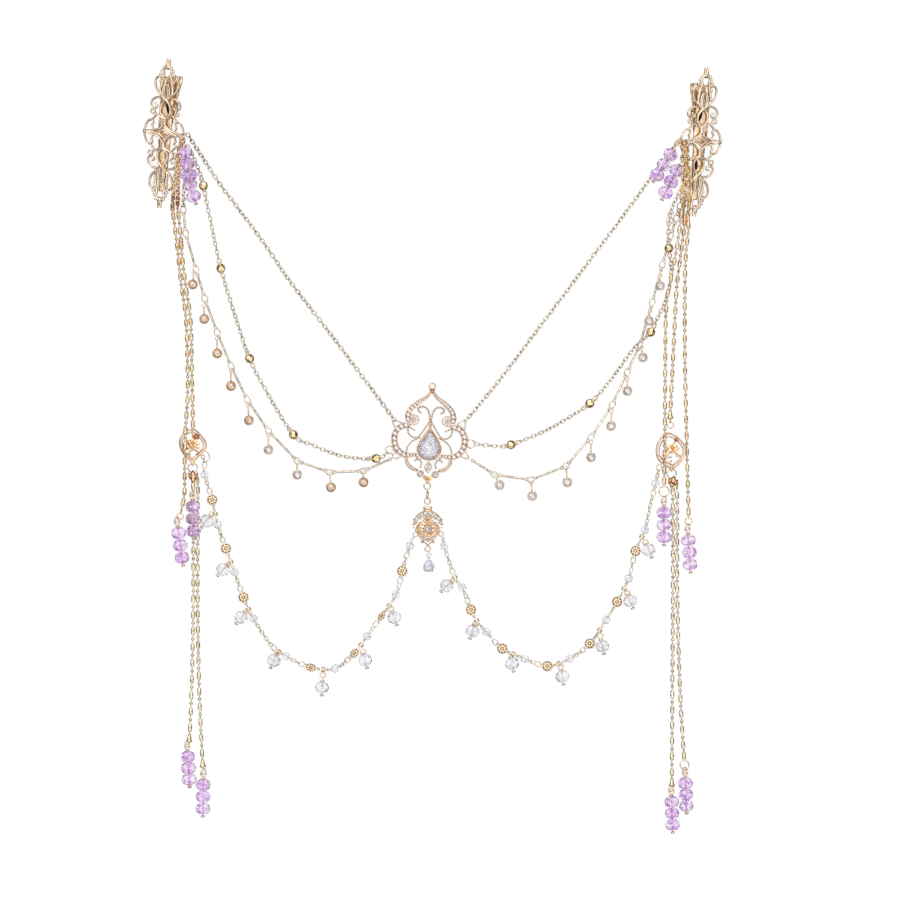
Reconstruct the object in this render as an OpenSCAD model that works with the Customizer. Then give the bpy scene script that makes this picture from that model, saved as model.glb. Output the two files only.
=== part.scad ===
// Face chain with two filigree hair clips, lying flat.
// Millimetres. +X is the wearer's left as seen from the front, +Y is up the face, Z = 0 is the table.

/* [Chains] */
// Thickness of the plain cable chain
cable_d = 1.8; // [1.4:0.1:2.0]
// Thickness of the fine chain that carries the gold balls
ball_chain_d = 1.4; // [1.0:0.1:1.6]
// Thickness of the bar chain at its rings
bar_chain_d = 1.5; // [1.2:0.1:1.6]
// Thickness of the tube-and-bead tassel chain
tassel_d = 1.4; // [1.0:0.1:1.5]
// Thickness of the links between the garland beads
garland_d = 1.4; // [1.0:0.1:1.6]
// Diameter of the gold balls
ball_d = 3.9; // [3.4:0.1:4.0]

/* [Beads] */
// Diameter of the violet rondelles
violet_d = 6.1; // [5.6:0.1:6.1]
// Diameter of the clear rondelle drops
drop_d = 5.8; // [5.2:0.1:5.9]
// Diameter of the small clear beads in the garland
seed_d = 3.4; // [3.0:0.1:3.5]
// Diameter of the granulated gold discs
disc_d = 4.2; // [3.6:0.1:4.4]
// Diameter of the round stone drops on the bar chain
stone_drop_d = 4; // [3.6:0.1:4.2]

/* [Hair clips] */
// Thickness of the stamped plate
plate_t = 0.9; // [0.7:0.1:1.0]
// Thickness of the sprung steel of the clip
jaw_t = 0.7; // [0.5:0.1:0.8]
// Diameter of the hinge pin
pin_d = 1.6; // [1.4:0.1:1.8]
// Clearance between the pin and its bore, all round
pin_fit = 0.05; // [0.02:0.01:0.1]
// Angle between the two levers
lever_angle = 27; // [22:1:30]

/* [Ornament] */
// Thickness of the openwork frame
frame_t = 1.5; // [1.2:0.1:1.8]
// Thickness of the medallions
medal_t = 1; // [0.8:0.1:1.2]

/* [Hidden] */
$fn = 32;
sides = 8;
gap = 0.3;
left_lean = -8.2;
right_lean = -0.4;
clip_roll = 25;
clip_pitch = 10;
left_clip_at = [-107, 124.9, 6.6];
right_clip_at = [107, 121.5, 6.6];
ornament_at = [-1.2, 0, 0];
ornament_lean = -3;
ornament_z = 0.4;
pear_r = 4.4;
hinge_y = 10;
hinge_z = -3.1;
lever_l = 12.6;
jaw_tip_y = -23.5;

rose = [0.86, 0.66, 0.50];
gold = [0.85, 0.70, 0.38];
violet = [0.78, 0.60, 0.90];
clear = [0.90, 0.92, 0.98];

// Chain routes: [x, y, z] of the centre line.
left_top_route = [
  [-98, 125, 9.7],
  [-94.5, 119.5, 6],
  [-90, 112.5, 2.4],
  [-84, 103.5, 1],
  [-69, 83.5, 1],
  [-57, 66, 1],
  [-42, 46.5, 1],
  [-27, 26.5, 1],
  [-14.6, 9.8, 1]
];
right_top_route = [
  [98.2, 121.7, 8.4],
  [95.6, 118, 5.6],
  [92.6, 114, 3.2],
  [87.5, 107.5, 1.4],
  [80, 97, 1],
  [67, 79.5, 1],
  [47, 53, 1],
  [27, 26.5, 1],
  [12.9, 9.6, 1]
];
left_ball_route = [
  [-97.8, 120.4, 7.2],
  [-95.2, 115, 4.4],
  [-93.2, 110, 2.2],
  [-91.5, 104, 2],
  [-89.5, 94, 1],
  [-84.5, 71, 2],
  [-78, 49.5, 1],
  [-73, 35, 2],
  [-67, 23, 1],
  [-55.5, 4.5, 2],
  [-48, 0.5, 1],
  [-36, -4, 1],
  [-22.5, -5, 2],
  [-17.2, -1.8, 1.5]
];
left_balls = [[-91.5, 104, 2], [-84.5, 71, 2], [-73, 35, 2], [-55.5, 4.5, 2], [-22.5, -5, 2]];
right_ball_route = [
  [15.8, 1, 1],
  [25, 0, 1],
  [31.5, 0.5, 2],
  [46, 6.5, 1],
  [55.5, 12, 1],
  [63, 17, 2],
  [71, 26, 1],
  [79, 37, 2.2],
  [83, 41.5, 2.9],
  [87.3, 45.5, 2.7],
  [89.8, 50.5, 1.8],
  [91.9, 55, 1],
  [94.8, 63, 0.8],
  [95.6, 70, 1],
  [94.6, 79, 3.9],
  [94.4, 86, 3.9],
  [95.5, 94, 4],
  [98, 100, 4.4],
  [100.4, 104.5, 5]
];
right_balls = [[31.5, 0.5, 2], [63, 17, 2], [87.3, 45.5, 2.7], [94.6, 79, 3.9]];
left_bar_route = [
  [-99.6, 95, 2],
  [-98.6, 85, 0.9],
  [-94.5, 70.5, 0.9],
  [-91, 59, 0.9],
  [-86, 45.5, 0.9],
  [-80.5, 32, 0.9],
  [-74, 18.5, 0.9],
  [-65.5, 6, 0.9],
  [-54, -6, 0.9],
  [-41, -10.5, 0.9],
  [-27.5, -10, 0.9],
  [-14.7, -4.3, 0.9]
];
right_bar_route = [
  [14.2, -4.6, 0.9],
  [25, -11.5, 0.9],
  [39.5, -13.5, 0.9],
  [53.5, -8, 0.9],
  [63.5, 3.5, 0.9],
  [72, 16.5, 0.9],
  [78, 29.5, 0.9],
  [83, 40.5, 0.9],
  [88, 57.5, 0.9],
  [92, 72.5, 0.9],
  [95.3, 84, 0.9],
  [97.6, 91, 0.9],
  [99.2, 96.5, 2.4]
];
left_garland_route = [
  [-91.8, -3.4, 2.5],
  [-91, -8, 1.75],
  [-91, -11.5, 1.75],
  [-88, -21.5, 1.75],
  [-85.8, -31.5, 1.75],
  [-82.5, -41, 1.75],
  [-79, -50.5, 1.75],
  [-75.5, -60.5, 1.75],
  [-71.5, -69, 1.75],
  [-64.5, -79.5, 1.75],
  [-58.5, -84, 1.75],
  [-48.5, -88.5, 1.75],
  [-39, -89, 1.75],
  [-31.2, -82.9, 1.75],
  [-26, -76, 1.75],
  [-20.3, -68, 1.75],
  [-14.5, -59.5, 1.75],
  [-12, -50, 1.75],
  [-9, -40, 1.75],
  [-7.6, -36.2, 1.75]
];
right_garland_route = [
  [4.4, -36, 1.75],
  [4.8, -40, 1.75],
  [9, -52.5, 1.75],
  [12, -56.5, 1.75],
  [15.5, -65.5, 1.75],
  [18, -70.2, 1.75],
  [21.7, -74.4, 1.75],
  [28, -81, 1.75],
  [37, -85, 1.75],
  [46, -88, 1.75],
  [55, -85, 1.75],
  [63, -79, 1.75],
  [69.5, -69.5, 1.75],
  [73.9, -62.3, 1.75],
  [78.5, -53, 1.75],
  [81.3, -42, 1.75],
  [85, -33.5, 1.75],
  [86.5, -26.5, 1.75],
  [89.3, -15, 1.75],
  [91, -7.2, 1.75]
];
left_seeds = [
  [-91, -11.5], [-85.8, -31.5], [-79, -50.5], [-71.5, -69], [-58.5, -84],
  [-39, -89], [-26, -76], [-14.5, -59.5], [-9, -40]
];
left_discs = [[-88, -21.5], [-82.5, -41], [-75.5, -60.5], [-48.5, -88.5], [-31.2, -82.9], [-20.3, -68], [-12, -50]];
right_seeds = [
  [4.8, -40], [12, -56.5], [21.7, -74.4], [37, -85], [55, -85],
  [69.5, -69.5], [78.5, -53], [85, -33.5], [89.3, -15]
];
right_discs = [[15.5, -65.5], [28, -81], [46, -88], [63, -79], [73.9, -62.3], [81.3, -42]];

left_tassel_a_route = [
  [-103.8, 95, 1.8],
  [-103, 88, 0.8],
  [-101.8, 78, 0.8],
  [-100.4, 64.5, 0.8],
  [-98.4, 49.5, 0.8],
  [-97.8, 24, 0.8],
  [-98.3, 12, 1.4],
  [-98.7, 6, 2.4],
  [-98.8, 0, 2.4],
  [-99, -7, 2.4],
  [-99, -14, 0.9],
  [-99.2, -20, 0.8],
  [-100.2, -25, 1],
  [-101, -28.8, 1.9]
];
left_tassel_b_route = [
  [-101.8, 95, 2],
  [-101, 88, 0.8],
  [-100, 76, 0.8],
  [-98.6, 64, 0.8],
  [-96.6, 49.5, 0.8],
  [-96, 24, 0.8],
  [-95.7, 7.6, 0.8]
];
right_tassel_a_route = [
  [99.9, 96, 4.4],
  [99.2, 90, 3],
  [97.9, 80, 2.6],
  [96.2, 71, 2.9],
  [94.3, 62, 2.6],
  [93.5, 54, 2.2],
  [93.3, 47, 0.8],
  [93, 8.5, 0.8],
  [92.8, -9.5, 0.8],
  [92.7, -20.8, 1.9]
];
right_tassel_b_route = [
  [100.6, 94.6, 2.3],
  [100.8, 88, 1.2],
  [98.8, 72, 0.8],
  [97.6, 61, 0.8],
  [96, 29, 0.8],
  [95.2, 13, 1],
  [95.3, 5.4, 2.2]
];
right_tassel_c_route = [
  [102.3, 91.4, 0.9],
  [102.4, 86, 0.8],
  [101.2, 72, 0.8],
  [101, 38.5, 0.8],
  [101.6, 9, 0.8],
  [102.2, -16, 0.8],
  [102.5, -26, 0.8],
  [102.4, -31.8, 1.9]
];
left_fall_a_route = [
  [-95.6, -12.8, 1.6],
  [-95.6, -18, 0.8],
  [-95.6, -67, 0.8],
  [-96.4, -102, 0.8],
  [-97.2, -118.4, 1.9]
];
left_fall_b_route = [
  [-93.8, -14.6, 0.9],
  [-93.8, -30, 0.8],
  [-93.8, -67, 0.8],
  [-93, -103, 0.8],
  [-91.6, -129.6, 1.9]
];
right_fall_a_route = [
  [96, -14.9, 1.8],
  [96.2, -20, 0.8],
  [96.2, -67, 0.8],
  [96, -98, 0.8],
  [95.8, -136.4, 1.9]
];
right_fall_b_route = [
  [97.8, -16.6, 0.9],
  [98, -31, 0.8],
  [98, -60, 0.8],
  [99.2, -100, 0.8],
  [101, -129, 1.9]
];

// Round stone drops: [x, y, lean, reach from the stone to its loop, height of the back].
left_stone_drops = [
  [-95.8, 64.6, -6, 4.8, 0.3],
  [-91.2, 50.8, 0, 5.3, 0.3],
  [-86, 37, 0, 6, 0.3],
  [-80.5, 24, 0, 6, 0.3],
  [-73.3, 10.2, 3, 6.1, 0.3],
  [-65.5, -1.5, 0, 6, 0.3],
  [-54, -11.5, 0, 5, 0.3],
  [-40.5, -16.5, 4, 5.4, 0.3],
  [-27.5, -14.5, 0, 4.2, 0.3]
];
right_stone_drops = [
  [26.9, -15.6, 24, 3.8, 0.3],
  [40, -20, 4, 5.6, 0.3],
  [54, -14.5, 4, 5.6, 0.3],
  [63.5, -4.5, 0, 6, 0.3],
  [71.5, 8, -3, 6, 0.3],
  [78, 22, 0, 5, 0.3],
  [84.2, 35.4, 8, 3.9, 0.3],
  [86.6, 50, -6, 4, 2],
  [91, 64, 0, 4, 2]
];
// Rondelle drops of the garland: [x, y, lean, reach from the bead to the chain].
left_rondelles = [
  [-90.2, -30, -38, 4.2],
  [-83.7, -49.5, -45, 3.4],
  [-76.4, -68.6, -40, 3.6],
  [-63.3, -85.8, -25, 4.2],
  [-44, -96.5, -3, 5.8],
  [-26.8, -85.6, 14, 4.2],
  [-15.2, -68.6, 20, 4.4]
];
right_rondelles = [
  [5.8, -56, -46, 3.5],
  [16.1, -74, -20, 3.4],
  [32, -87, 10, 3.6],
  [52, -92.2, 10, 4.8],
  [68, -80, 12, 4.9],
  [79.1, -61.9, 20, 3.9],
  [86.5, -41.6, 22, 4.1]
];

// Smooth route through hand-set points, for the tubes and the strokes.
function knot(p, i) = p[max(0, min(len(p) - 1, i))];
function bend(a, b, c, d, t) =
  0.5 * (2 * b + (c - a) * t + (2 * a - 5 * b + 4 * c - d) * t * t + (3 * b - a - 3 * c + d) * t * t * t);
function smooth(p, steps) = [
  for (i = [0 : len(p) - 2])
    for (j = [0 : steps - 1])
      bend(knot(p, i - 1), p[i], p[i + 1], knot(p, i + 2), j / steps),
  p[len(p) - 1]
];
function unit(v) = v / norm(v);
function heading(p, i) = unit(knot(p, i + 1) - knot(p, i - 1));
function ring_points(c, t, r) =
  let (s = unit(cross(t, [0, 0, 1])), u = cross(s, t))
  [for (j = [0 : sides - 1]) c + r * (cos(360 * (j + 0.5) / sides) * s + sin(360 * (j + 0.5) / sides) * u)];

// A closed tube of eight sides along a smoothed route.
module tube(route, d, steps = 3) {
  p = smooth(route, steps);
  n = len(p);
  r = d / 2;
  polyhedron(
    points = [for (i = [0 : n - 1]) each ring_points(p[i], heading(p, i), r)],
    faces = concat(
      [[for (j = [0 : sides - 1]) sides - 1 - j]],
      [for (i = [0 : n - 2]) for (j = [0 : sides - 1])
        [i * sides + j, i * sides + (j + 1) % sides, (i + 1) * sides + j]],
      [for (i = [0 : n - 2]) for (j = [0 : sides - 1])
        [i * sides + (j + 1) % sides, (i + 1) * sides + (j + 1) % sides, (i + 1) * sides + j]],
      [[for (j = [0 : sides - 1]) (n - 1) * sides + j]]
    )
  );
}

// A flat stroke along a smoothed route of [x, y, width].
function sideways(p, i) = let (d = knot(p, i + 1) - knot(p, i - 1)) unit([-d[1], d[0]]);
function edge(p, i, side) = [p[i][0], p[i][1]] + side * sideways(p, i) * p[i][2] / 2;
module stroke(route, steps = 3) {
  p = smooth(route, steps);
  n = len(p);
  polygon(concat(
    [for (i = [0 : n - 1]) edge(p, i, 1)],
    [for (i = [n - 1 : -1 : 0]) edge(p, i, -1)]
  ));
}

// Flat openwork: its strokes merge into one outline before it is given its thickness.
module openwork(t) {
  linear_extrude(t)
    offset(delta = 0.02)
      children();
}

module both_ways() {
  children();
  mirror([1, 0, 0]) children();
}

module loop(r, wire) {
  rotate_extrude()
    translate([r, 0]) circle(wire, $fn = 16);
}

module hoop(r, wire, w = 0) {
  difference() {
    circle(r + wire);
    circle(r - wire);
  }
}

// One quarter of the stamped plate, in its own flat.
module plate_quarter() {
  polygon([[0, 0], [0, 3.8], [0.9, 2.3], [2.2, 1.4], [4.4, 0.8], [8.6, 0.45], [8.6, 0]]);
  translate([8.5, 0]) circle(0.9, $fn = 12);
  stroke([[8.9, 0.4, 0.8], [8.3, 2.6, 0.7], [7.2, 4.4, 0.7], [5.8, 4.8, 0.7], [4.8, 4, 0.6], [5.4, 3, 0.6]]);
  stroke([[4.6, 0.8, 0.6], [5.2, 2, 0.6], [5.6, 2.8, 0.6]]);
  stroke([[5.7, 4.8, 0.7], [4.6, 6.2, 0.7], [3.6, 7.2, 0.7], [2.2, 6.6, 0.7], [0.2, 5.6, 0.7]]);
  translate([5.5, 8.3]) hoop(0.85, 0.32, $fn = 16);
  stroke([[3.6, 7, 0.7], [4.4, 7.7, 0.7], [4.9, 9.4, 0.7]]);
  stroke([[2.4, 14.2, 0.7], [4.4, 14, 0.7], [6, 12.8, 0.7], [6.6, 11.2, 0.7], [5.8, 10, 0.7], [4.2, 9.9, 0.6], [3.6, 10.9, 0.6], [4.6, 11.5, 0.6]]);
  stroke([[0, 13.6, 1.6], [1.4, 12, 0.9], [2.2, 10, 0.8], [2, 7.8, 0.8], [0.3, 6.2, 0.8]]);
  stroke([[0, 2.8, 1.4], [0.2, 4.4, 1.2], [0.1, 6.4, 1.2]]);
  stroke([[0, 13.2, 1.4], [1.6, 14.4, 0.9], [2.6, 16.4, 0.8], [2.7, 18.6, 0.8], [2.2, 21, 0.8]]);
  polygon([[0, 13], [1.3, 14.6], [1.4, 18.6], [0.5, 19.8], [0, 19.8]]);
  stroke([[2.4, 15.2, 0.8], [4.4, 17.2, 0.8], [5.2, 19.8, 0.8], [4.8, 21.8, 0.8], [3.6, 22.4, 0.7], [2.6, 21.4, 0.7], [3.1, 20.4, 0.6]]);
  stroke([[2.5, 18, 0.8], [2, 21.2, 0.9], [1.5, 23.6, 1], [1.9, 25.4, 1], [0.4, 27, 1.2]]);
  translate([3.1, 23.6]) circle(0.7, $fn = 12);
  translate([2.7, 25]) circle(0.65, $fn = 12);
  translate([1.9, 26.5]) circle(0.6, $fn = 12);
  stroke([[2, 22.8, 0.8], [3.1, 23.6, 0.8]], 1);
  stroke([[1.7, 24.6, 0.8], [2.7, 25, 0.8]], 1);
  polygon([[0, 26], [1.1, 26.2], [0.9, 27.6], [0.8, 30.1], [0.3, 30.1], [0.3, 28.6], [0, 28.4]]);
}

module filigree_plate() {
  openwork(plate_t)
    both_ways() {
      plate_quarter();
      mirror([0, 1, 0]) plate_quarter();
    }
}

// Upper jaw with its lever, two ears and the riveted pin. The plate's back is at z = 0.
module clip_top() {
  ear_z = hinge_z - pin_d;
  difference() {
    union() {
      translate([0, 0, -0.1 - jaw_t])
        linear_extrude(jaw_t)
          polygon([
            [-1.1, jaw_tip_y], [1.1, jaw_tip_y], [3, hinge_y - 8], [3, hinge_y + 4],
            [2.4, hinge_y + lever_l], [-2.4, hinge_y + lever_l], [-3, hinge_y + 4], [-3, hinge_y - 8]
          ]);
      both_ways()
        translate([2.3, hinge_y - 2.5, ear_z])
          cube([0.7, 5, -0.2 - ear_z]);
      translate([0, hinge_y, hinge_z])
        rotate([0, 90, 0])
          cylinder(d = pin_d, h = 6.6, center = true);
    }
    translate([-0.7, hinge_y + 6.4, -2])
      cube([1.4, 8, 3]);
  }
}

// Lower jaw with its lever. It is drawn shut and turns on the pin.
module clip_jaw() {
  inner = 2.3 - gap;
  difference() {
    union() {
      translate([0, 0, -1.1 - 2 * jaw_t])
        linear_extrude(jaw_t)
          polygon([
            [-1, jaw_tip_y - 0.2], [1, jaw_tip_y - 0.2], [inner, hinge_y - 8], [inner, hinge_y - 3.2], [-inner, hinge_y - 3.2], [-inner, hinge_y - 8]
          ]);
      both_ways()
        translate([inner - 0.7, hinge_y - 4, hinge_z - 1.9])
          cube([0.7, 6.4, 3]);
      translate([0, hinge_y + 1.6, hinge_z - 1.9])
        rotate([-lever_angle, 0, 0])
          translate([-inner, 0, 0])
            cube([2 * inner, lever_l - 1, jaw_t]);
    }
    translate([0, hinge_y, hinge_z])
      rotate([0, 90, 0])
        cylinder(r = pin_d / 2 + pin_fit, h = 8, center = true);
    translate([-0.6, hinge_y + 6.8, -14])
      cube([1.2, 8, 12]);
  }
}

// Coil round the pin, between the lower jaw's ears.
module clip_spring() {
  translate([0, hinge_y, hinge_z])
    rotate([0, 90, 0])
      difference() {
        cylinder(r = pin_d / 2 + 0.65, h = 1.9, center = true);
        cylinder(r = pin_d / 2 + 0.15, h = 3, center = true);
      }
}

module place_left() {
  translate(left_clip_at)
    rotate([clip_pitch, -clip_roll, left_lean])
      children();
}

module place_right() {
  translate(right_clip_at)
    rotate([clip_pitch, clip_roll, right_lean])
      children();
}

// Pear outline: a circle with a point above it.
module pear(r) {
  circle(r);
  polygon([[0, 2 * r], [r * cos(30), r * sin(30)], [-r * cos(30), r * sin(30)]]);
}

module ornament_half() {
  stroke([[0, 22.4, 0.9], [1.9, 19.7, 1.2], [5.6, 17.1, 1.8], [8.6, 13.9, 2.1], [9.4, 11, 2.1], [8.2, 9, 1.8]]);
  translate([6.9, 10.2]) circle(2.1);
  stroke([[8.4, 8, 1.9], [10.6, 8.6, 2.1], [13, 7.4, 2.1], [15, 4.6, 2.1], [15.2, 1.6, 2.1], [13.6, -2.2, 2.1], [10, -4.8, 2.1], [5, -4.4, 1.6], [3.4, -4, 1.2]]);
  stroke([[0, 7.4, 1], [0.4, 10, 0.7], [0.3, 12.4, 0.7], [1.5, 14.8, 0.6], [3.8, 16, 0.6], [5.4, 15.4, 0.6], [5.7, 14, 0.6], [4.7, 13.3, 0.7]]);
  stroke([[8.9, 8, 0.8], [9.2, 5.2, 0.6], [7.6, 3.6, 0.6], [5, 3.2, 0.6], [3.4, 3.2, 0.6]]);
  stroke([[8.6, 8, 0.8], [7.8, 7.2, 0.6], [6.4, 6.2, 0.6]]);
  stroke([[3.6, 2.8, 0.8], [6, 2, 0.6], [8, -0.2, 0.6], [9.3, -3.6, 0.8]]);
  stroke([[9.4, -4.8, 0.7], [9, -6.6, 0.6], [7.4, -8.6, 0.6], [5, -9.6, 0.6], [3, -8.6, 0.6], [3.2, -6.6, 0.6], [4, -5.4, 0.7]]);
  stroke([[4.4, -9.2, 0.6], [3.6, -10.4, 0.9], [2.8, -11.2, 1.2]]);
  translate([3, -11.2]) circle(1.5);
  stroke([[3, -11.6, 1.4], [1.4, -12.6, 1.2], [0, -13.4, 1.4]]);
  stroke([[0, -5.4, 1.2], [1.3, -8.4, 1], [0, -10.8, 1], [0, -13, 1.2]]);
}

// Ogee frame with paved bands, scrolls and the bezel of the pear stone.
module ornament_body() {
  translate([0, 0, ornament_z])
    openwork(frame_t)
      both_ways()
        ornament_half();
  translate([0, -1.3, ornament_z])
    linear_extrude(0.8)
      pear(pear_r);
  difference() {
    translate([0, -1.3, ornament_z])
      linear_extrude(3)
        pear(pear_r + 0.05);
    translate([0, -1.3, ornament_z + 0.8])
      linear_extrude(4)
        pear(pear_r - 0.45);
  }
  translate([0, -8.3, ornament_z])
    cylinder(r = 1.4, h = frame_t + 0.5);
  translate([0, 23.9, ornament_z + 0.6])
    loop(1.2, 0.35);
  translate([0, -13.4, ornament_z])
    cylinder(r = 1, h = frame_t + 0.4);
  translate([0, -15.7, ornament_z + 0.6])
    loop(1.4, 0.35);
}

// Girdle, crown and table of the pear stone, held by the bezel's wall.
module pear_cut(r, girdle, crown) {
  hull() {
    linear_extrude(girdle)
      pear(r);
    translate([0, 0, girdle + crown - 0.05])
      linear_extrude(0.05)
        pear(r * 0.55);
  }
}

module pendant_half() {
  stroke([[0, -0.6, 1.4], [2.6, -2.4, 1.2], [4.8, -4.8, 1.4], [5.4, -8, 1.4], [4.4, -11, 1.2], [2.2, -13.6, 1.1], [0, -15.6, 1.4]]);
  translate([1.8, -2.9]) circle(1.05);
  translate([4.6, -5.4]) circle(1.05);
  stroke([[2, -3, 1.2], [2.2, -5.4, 1], [3.6, -7.6, 1]]);
  stroke([[3, -9.6, 1], [4.4, -8.4, 1]], 1);
  stroke([[1.6, -11, 1], [1.8, -12.4, 0.8], [0.8, -13.8, 0.8]]);
}

// Rosette and shield frame under the ornament, with the links above it and the ring below.
module pendant_body() {
  translate([0, 0, 0.5])
    openwork(1.3)
      union() {
        both_ways() pendant_half();
        translate([0, -8]) circle(3.5);
        translate([0, 0]) square([3.6, 1.7], center = true);
      }
  translate([0, -8, 0.5])
    cylinder(r = 2, h = 2.2);
  translate([0, 2.2, 1.1])
    loop(1.15, 0.35);
  translate([0, 5.3, 1.1])
    loop(1.7, 0.35);
  translate([0, -17, 1.1])
    loop(1.1, 0.35);
}

module small_drop() {
  translate([0, 0, 0.4])
    linear_extrude(1)
      pear(2.25);
  translate([0, 0, 1.35])
    cylinder(r1 = 2.2, r2 = 1.2, h = 0.9);
  translate([0, 5.2, 1.2])
    loop(0.8, 0.3);
}

// Rondelles on a pin: the first bead's middle is at the origin and the rest follow along -Y.
function bead_profile(y, r, h) = [[r * 0.62, y + h / 2], [r, y + h * 0.18], [r, y - h * 0.18], [r * 0.62, y - h / 2]];
module strand(count, r, pitch, stem) {
  last = -(count - 1) * pitch;
  pin = 0.35;
  rotate([90, 0, 0])
    rotate([0, 0, 180])
      mirror([0, 0, 1])
        rotate_extrude()
          polygon(concat(
            [[0, stem], [pin, stem]],
            [for (i = [0 : count - 1]) each concat(
              [[pin, -i * pitch + pitch * 0.48]],
              bead_profile(-i * pitch, r, pitch * 0.96),
              [[pin, -i * pitch - pitch * 0.48]]
            )],
            [[pin, last - pitch / 2 - 0.4], [0.9, last - pitch / 2 - 0.5], [0.9, last - pitch / 2 - 1.1], [0, last - pitch / 2 - 1.1]]
          ));
  translate([0, stem + 0.9, 0])
    loop(1.1, 0.3);
}

// Places a strand by its first bead's middle, the way it leans and how far it dips towards its end.
module violet_strand(at, lean, dip = 0, pitch = 4.85, stem = 3.4) {
  color(violet)
    translate(at)
      rotate([dip, 0, lean])
        strand(3, violet_d / 2, pitch, stem);
}

module stone_drops(table) {
  r = stone_drop_d / 2;
  for (d = table)
    translate([d[0], d[1], d[4]])
      rotate([0, 0, d[2]]) {
        run = d[3] - r - 0.55;
        rise = 1.2;
        cylinder(r = r, h = 1.6);
        translate([0, 0, 1.55])
          cylinder(r1 = r * 0.8, r2 = r * 0.45, h = 0.5);
        translate([0, r - 0.5, 0.8])
          rotate([-90 + atan2(rise, run + 0.5), 0, 0])
            cylinder(r = 0.35, h = norm([run + 0.5, rise]) - 0.2);
        translate([0, d[3], 0.8 + rise])
          loop(0.75, 0.3);
      }
}

module rondelle_drops(table) {
  r = drop_d / 2;
  for (d = table)
    translate([d[0], d[1], r + 0.1])
      rotate([0, 0, d[2]])
        strand(1, r, 4.8, d[3] - 1.7);
}

module balls(table, d) {
  for (p = table)
    translate(p)
      sphere(d = d);
}

module garland(route, seeds, discs) {
  tube(route, garland_d, 2);
  translate([0, 0, 1.75])
    balls([for (p = seeds) [p[0], p[1], 0]], seed_d);
  for (p = discs)
    translate([p[0], p[1], 1.1])
      cylinder(d = disc_d, h = 1.3);
}

module medallion() {
  translate([0, -8.8, medal_t / 2])
    loop(1.9, 0.35);
  openwork(medal_t)
    union() {
      hoop(5.1, 0.45);
      both_ways() {
        stroke([[0, 6.3, 1], [1.8, 5.5, 0.8], [3.6, 3.9, 0.8]]);
        stroke([[0, -6.3, 1.2], [1.8, -5.5, 0.9], [3.6, -3.9, 0.9]]);
        stroke([[0, -2.2, 0.8], [1.6, -3, 0.6], [1.4, -4.2, 0.6], [0.4, -3.8, 0.6]]);
      }
      stroke([[-3.6, 3.4, 0.7], [-2.8, 1.4, 0.6], [-3.2, -0.6, 0.6], [-3.8, -2.6, 0.7]]);
      stroke([[2.4, 4.4, 0.8], [1.6, 3, 0.9], [0.6, 1.2, 0.8], [0.2, -1, 0.7], [0, -5.4, 0.9]]);
      for (a = [0 : 72 : 288])
        rotate([0, 0, a])
          translate([1.3, 0.6]) circle(1.1, $fn = 12);
      translate([-1.6, 1]) circle(1, $fn = 12);
      stroke([[-1.4, 0.8, 0.6], [-3.2, 0.4, 0.6]], 1);
    }
}

module left_plate() { color(rose) place_left() filigree_plate(); }
module left_clip() { color(rose) place_left() clip_top(); }
module left_jaw() { color(rose) place_left() clip_jaw(); }
module left_spring() { color(gold) place_left() clip_spring(); }
module right_plate() { color(rose) place_right() filigree_plate(); }
module right_clip() { color(rose) place_right() clip_top(); }
module right_jaw() { color(rose) place_right() clip_jaw(); }
module right_spring() { color(gold) place_right() clip_spring(); }

module ornament() {
  color(rose)
    translate(ornament_at)
      rotate([0, 0, ornament_lean])
        ornament_body();
}

module pear_stone() {
  color(clear)
    translate(ornament_at)
      rotate([0, 0, ornament_lean])
        translate([0, -1.3, ornament_z + 1.6])
          pear_cut(pear_r - 0.55, 0.9, 1.2);
}

module pendant() { color(rose) translate([-1.8, -25.2, 0]) pendant_body(); }
module pear_drop() { color(clear) translate([-1.4, -50, 0]) small_drop(); }

module left_top_chain() { color(gold) tube(left_top_route, cable_d); }
module right_top_chain() { color(gold) tube(right_top_route, cable_d); }

module left_ball_chain() {
  color(gold) {
    tube(left_ball_route, ball_chain_d, 2);
    balls(left_balls, ball_d);
  }
}

module right_ball_chain() {
  color(gold) {
    tube(right_ball_route, ball_chain_d, 2);
    balls(right_balls, ball_d);
  }
}

module left_bar_chain() { color(gold) tube(left_bar_route, bar_chain_d, 2); }
module right_bar_chain() { color(gold) tube(right_bar_route, bar_chain_d, 2); }
module left_bar_drops() { color(clear) stone_drops(left_stone_drops); }
module right_bar_drops() { color(clear) stone_drops(right_stone_drops); }
module left_garland() { color(gold) garland(left_garland_route, left_seeds, left_discs); }
module right_garland() { color(gold) garland(right_garland_route, right_seeds, right_discs); }
module left_garland_drops() { color(clear) rondelle_drops(left_rondelles); }
module right_garland_drops() { color(clear) rondelle_drops(right_rondelles); }
module left_medallion() { color(rose) translate([-96, 0.3, 0.3]) medallion(); }
module right_medallion() { color(rose) translate([95.5, -2, 1.8]) medallion(); }

module left_tassel_a() { color(gold) tube(left_tassel_a_route, tassel_d); }
module left_tassel_b() { color(gold) tube(left_tassel_b_route, tassel_d); }
module right_tassel_a() { color(gold) tube(right_tassel_a_route, tassel_d); }
module right_tassel_b() { color(gold) tube(right_tassel_b_route, tassel_d); }
module right_tassel_c() { color(gold) tube(right_tassel_c_route, tassel_d); }
module fall(route) {
  tube(route, tassel_d);
  translate(route[0]) sphere(d = 3);
}

module left_fall_a() { color(gold) fall(left_fall_a_route); }
module left_fall_b() { color(gold) tube(left_fall_b_route, tassel_d); }
module right_fall_a() { color(gold) fall(right_fall_a_route); }
module right_fall_b() { color(gold) tube(right_fall_b_route, tassel_d); }

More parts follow.
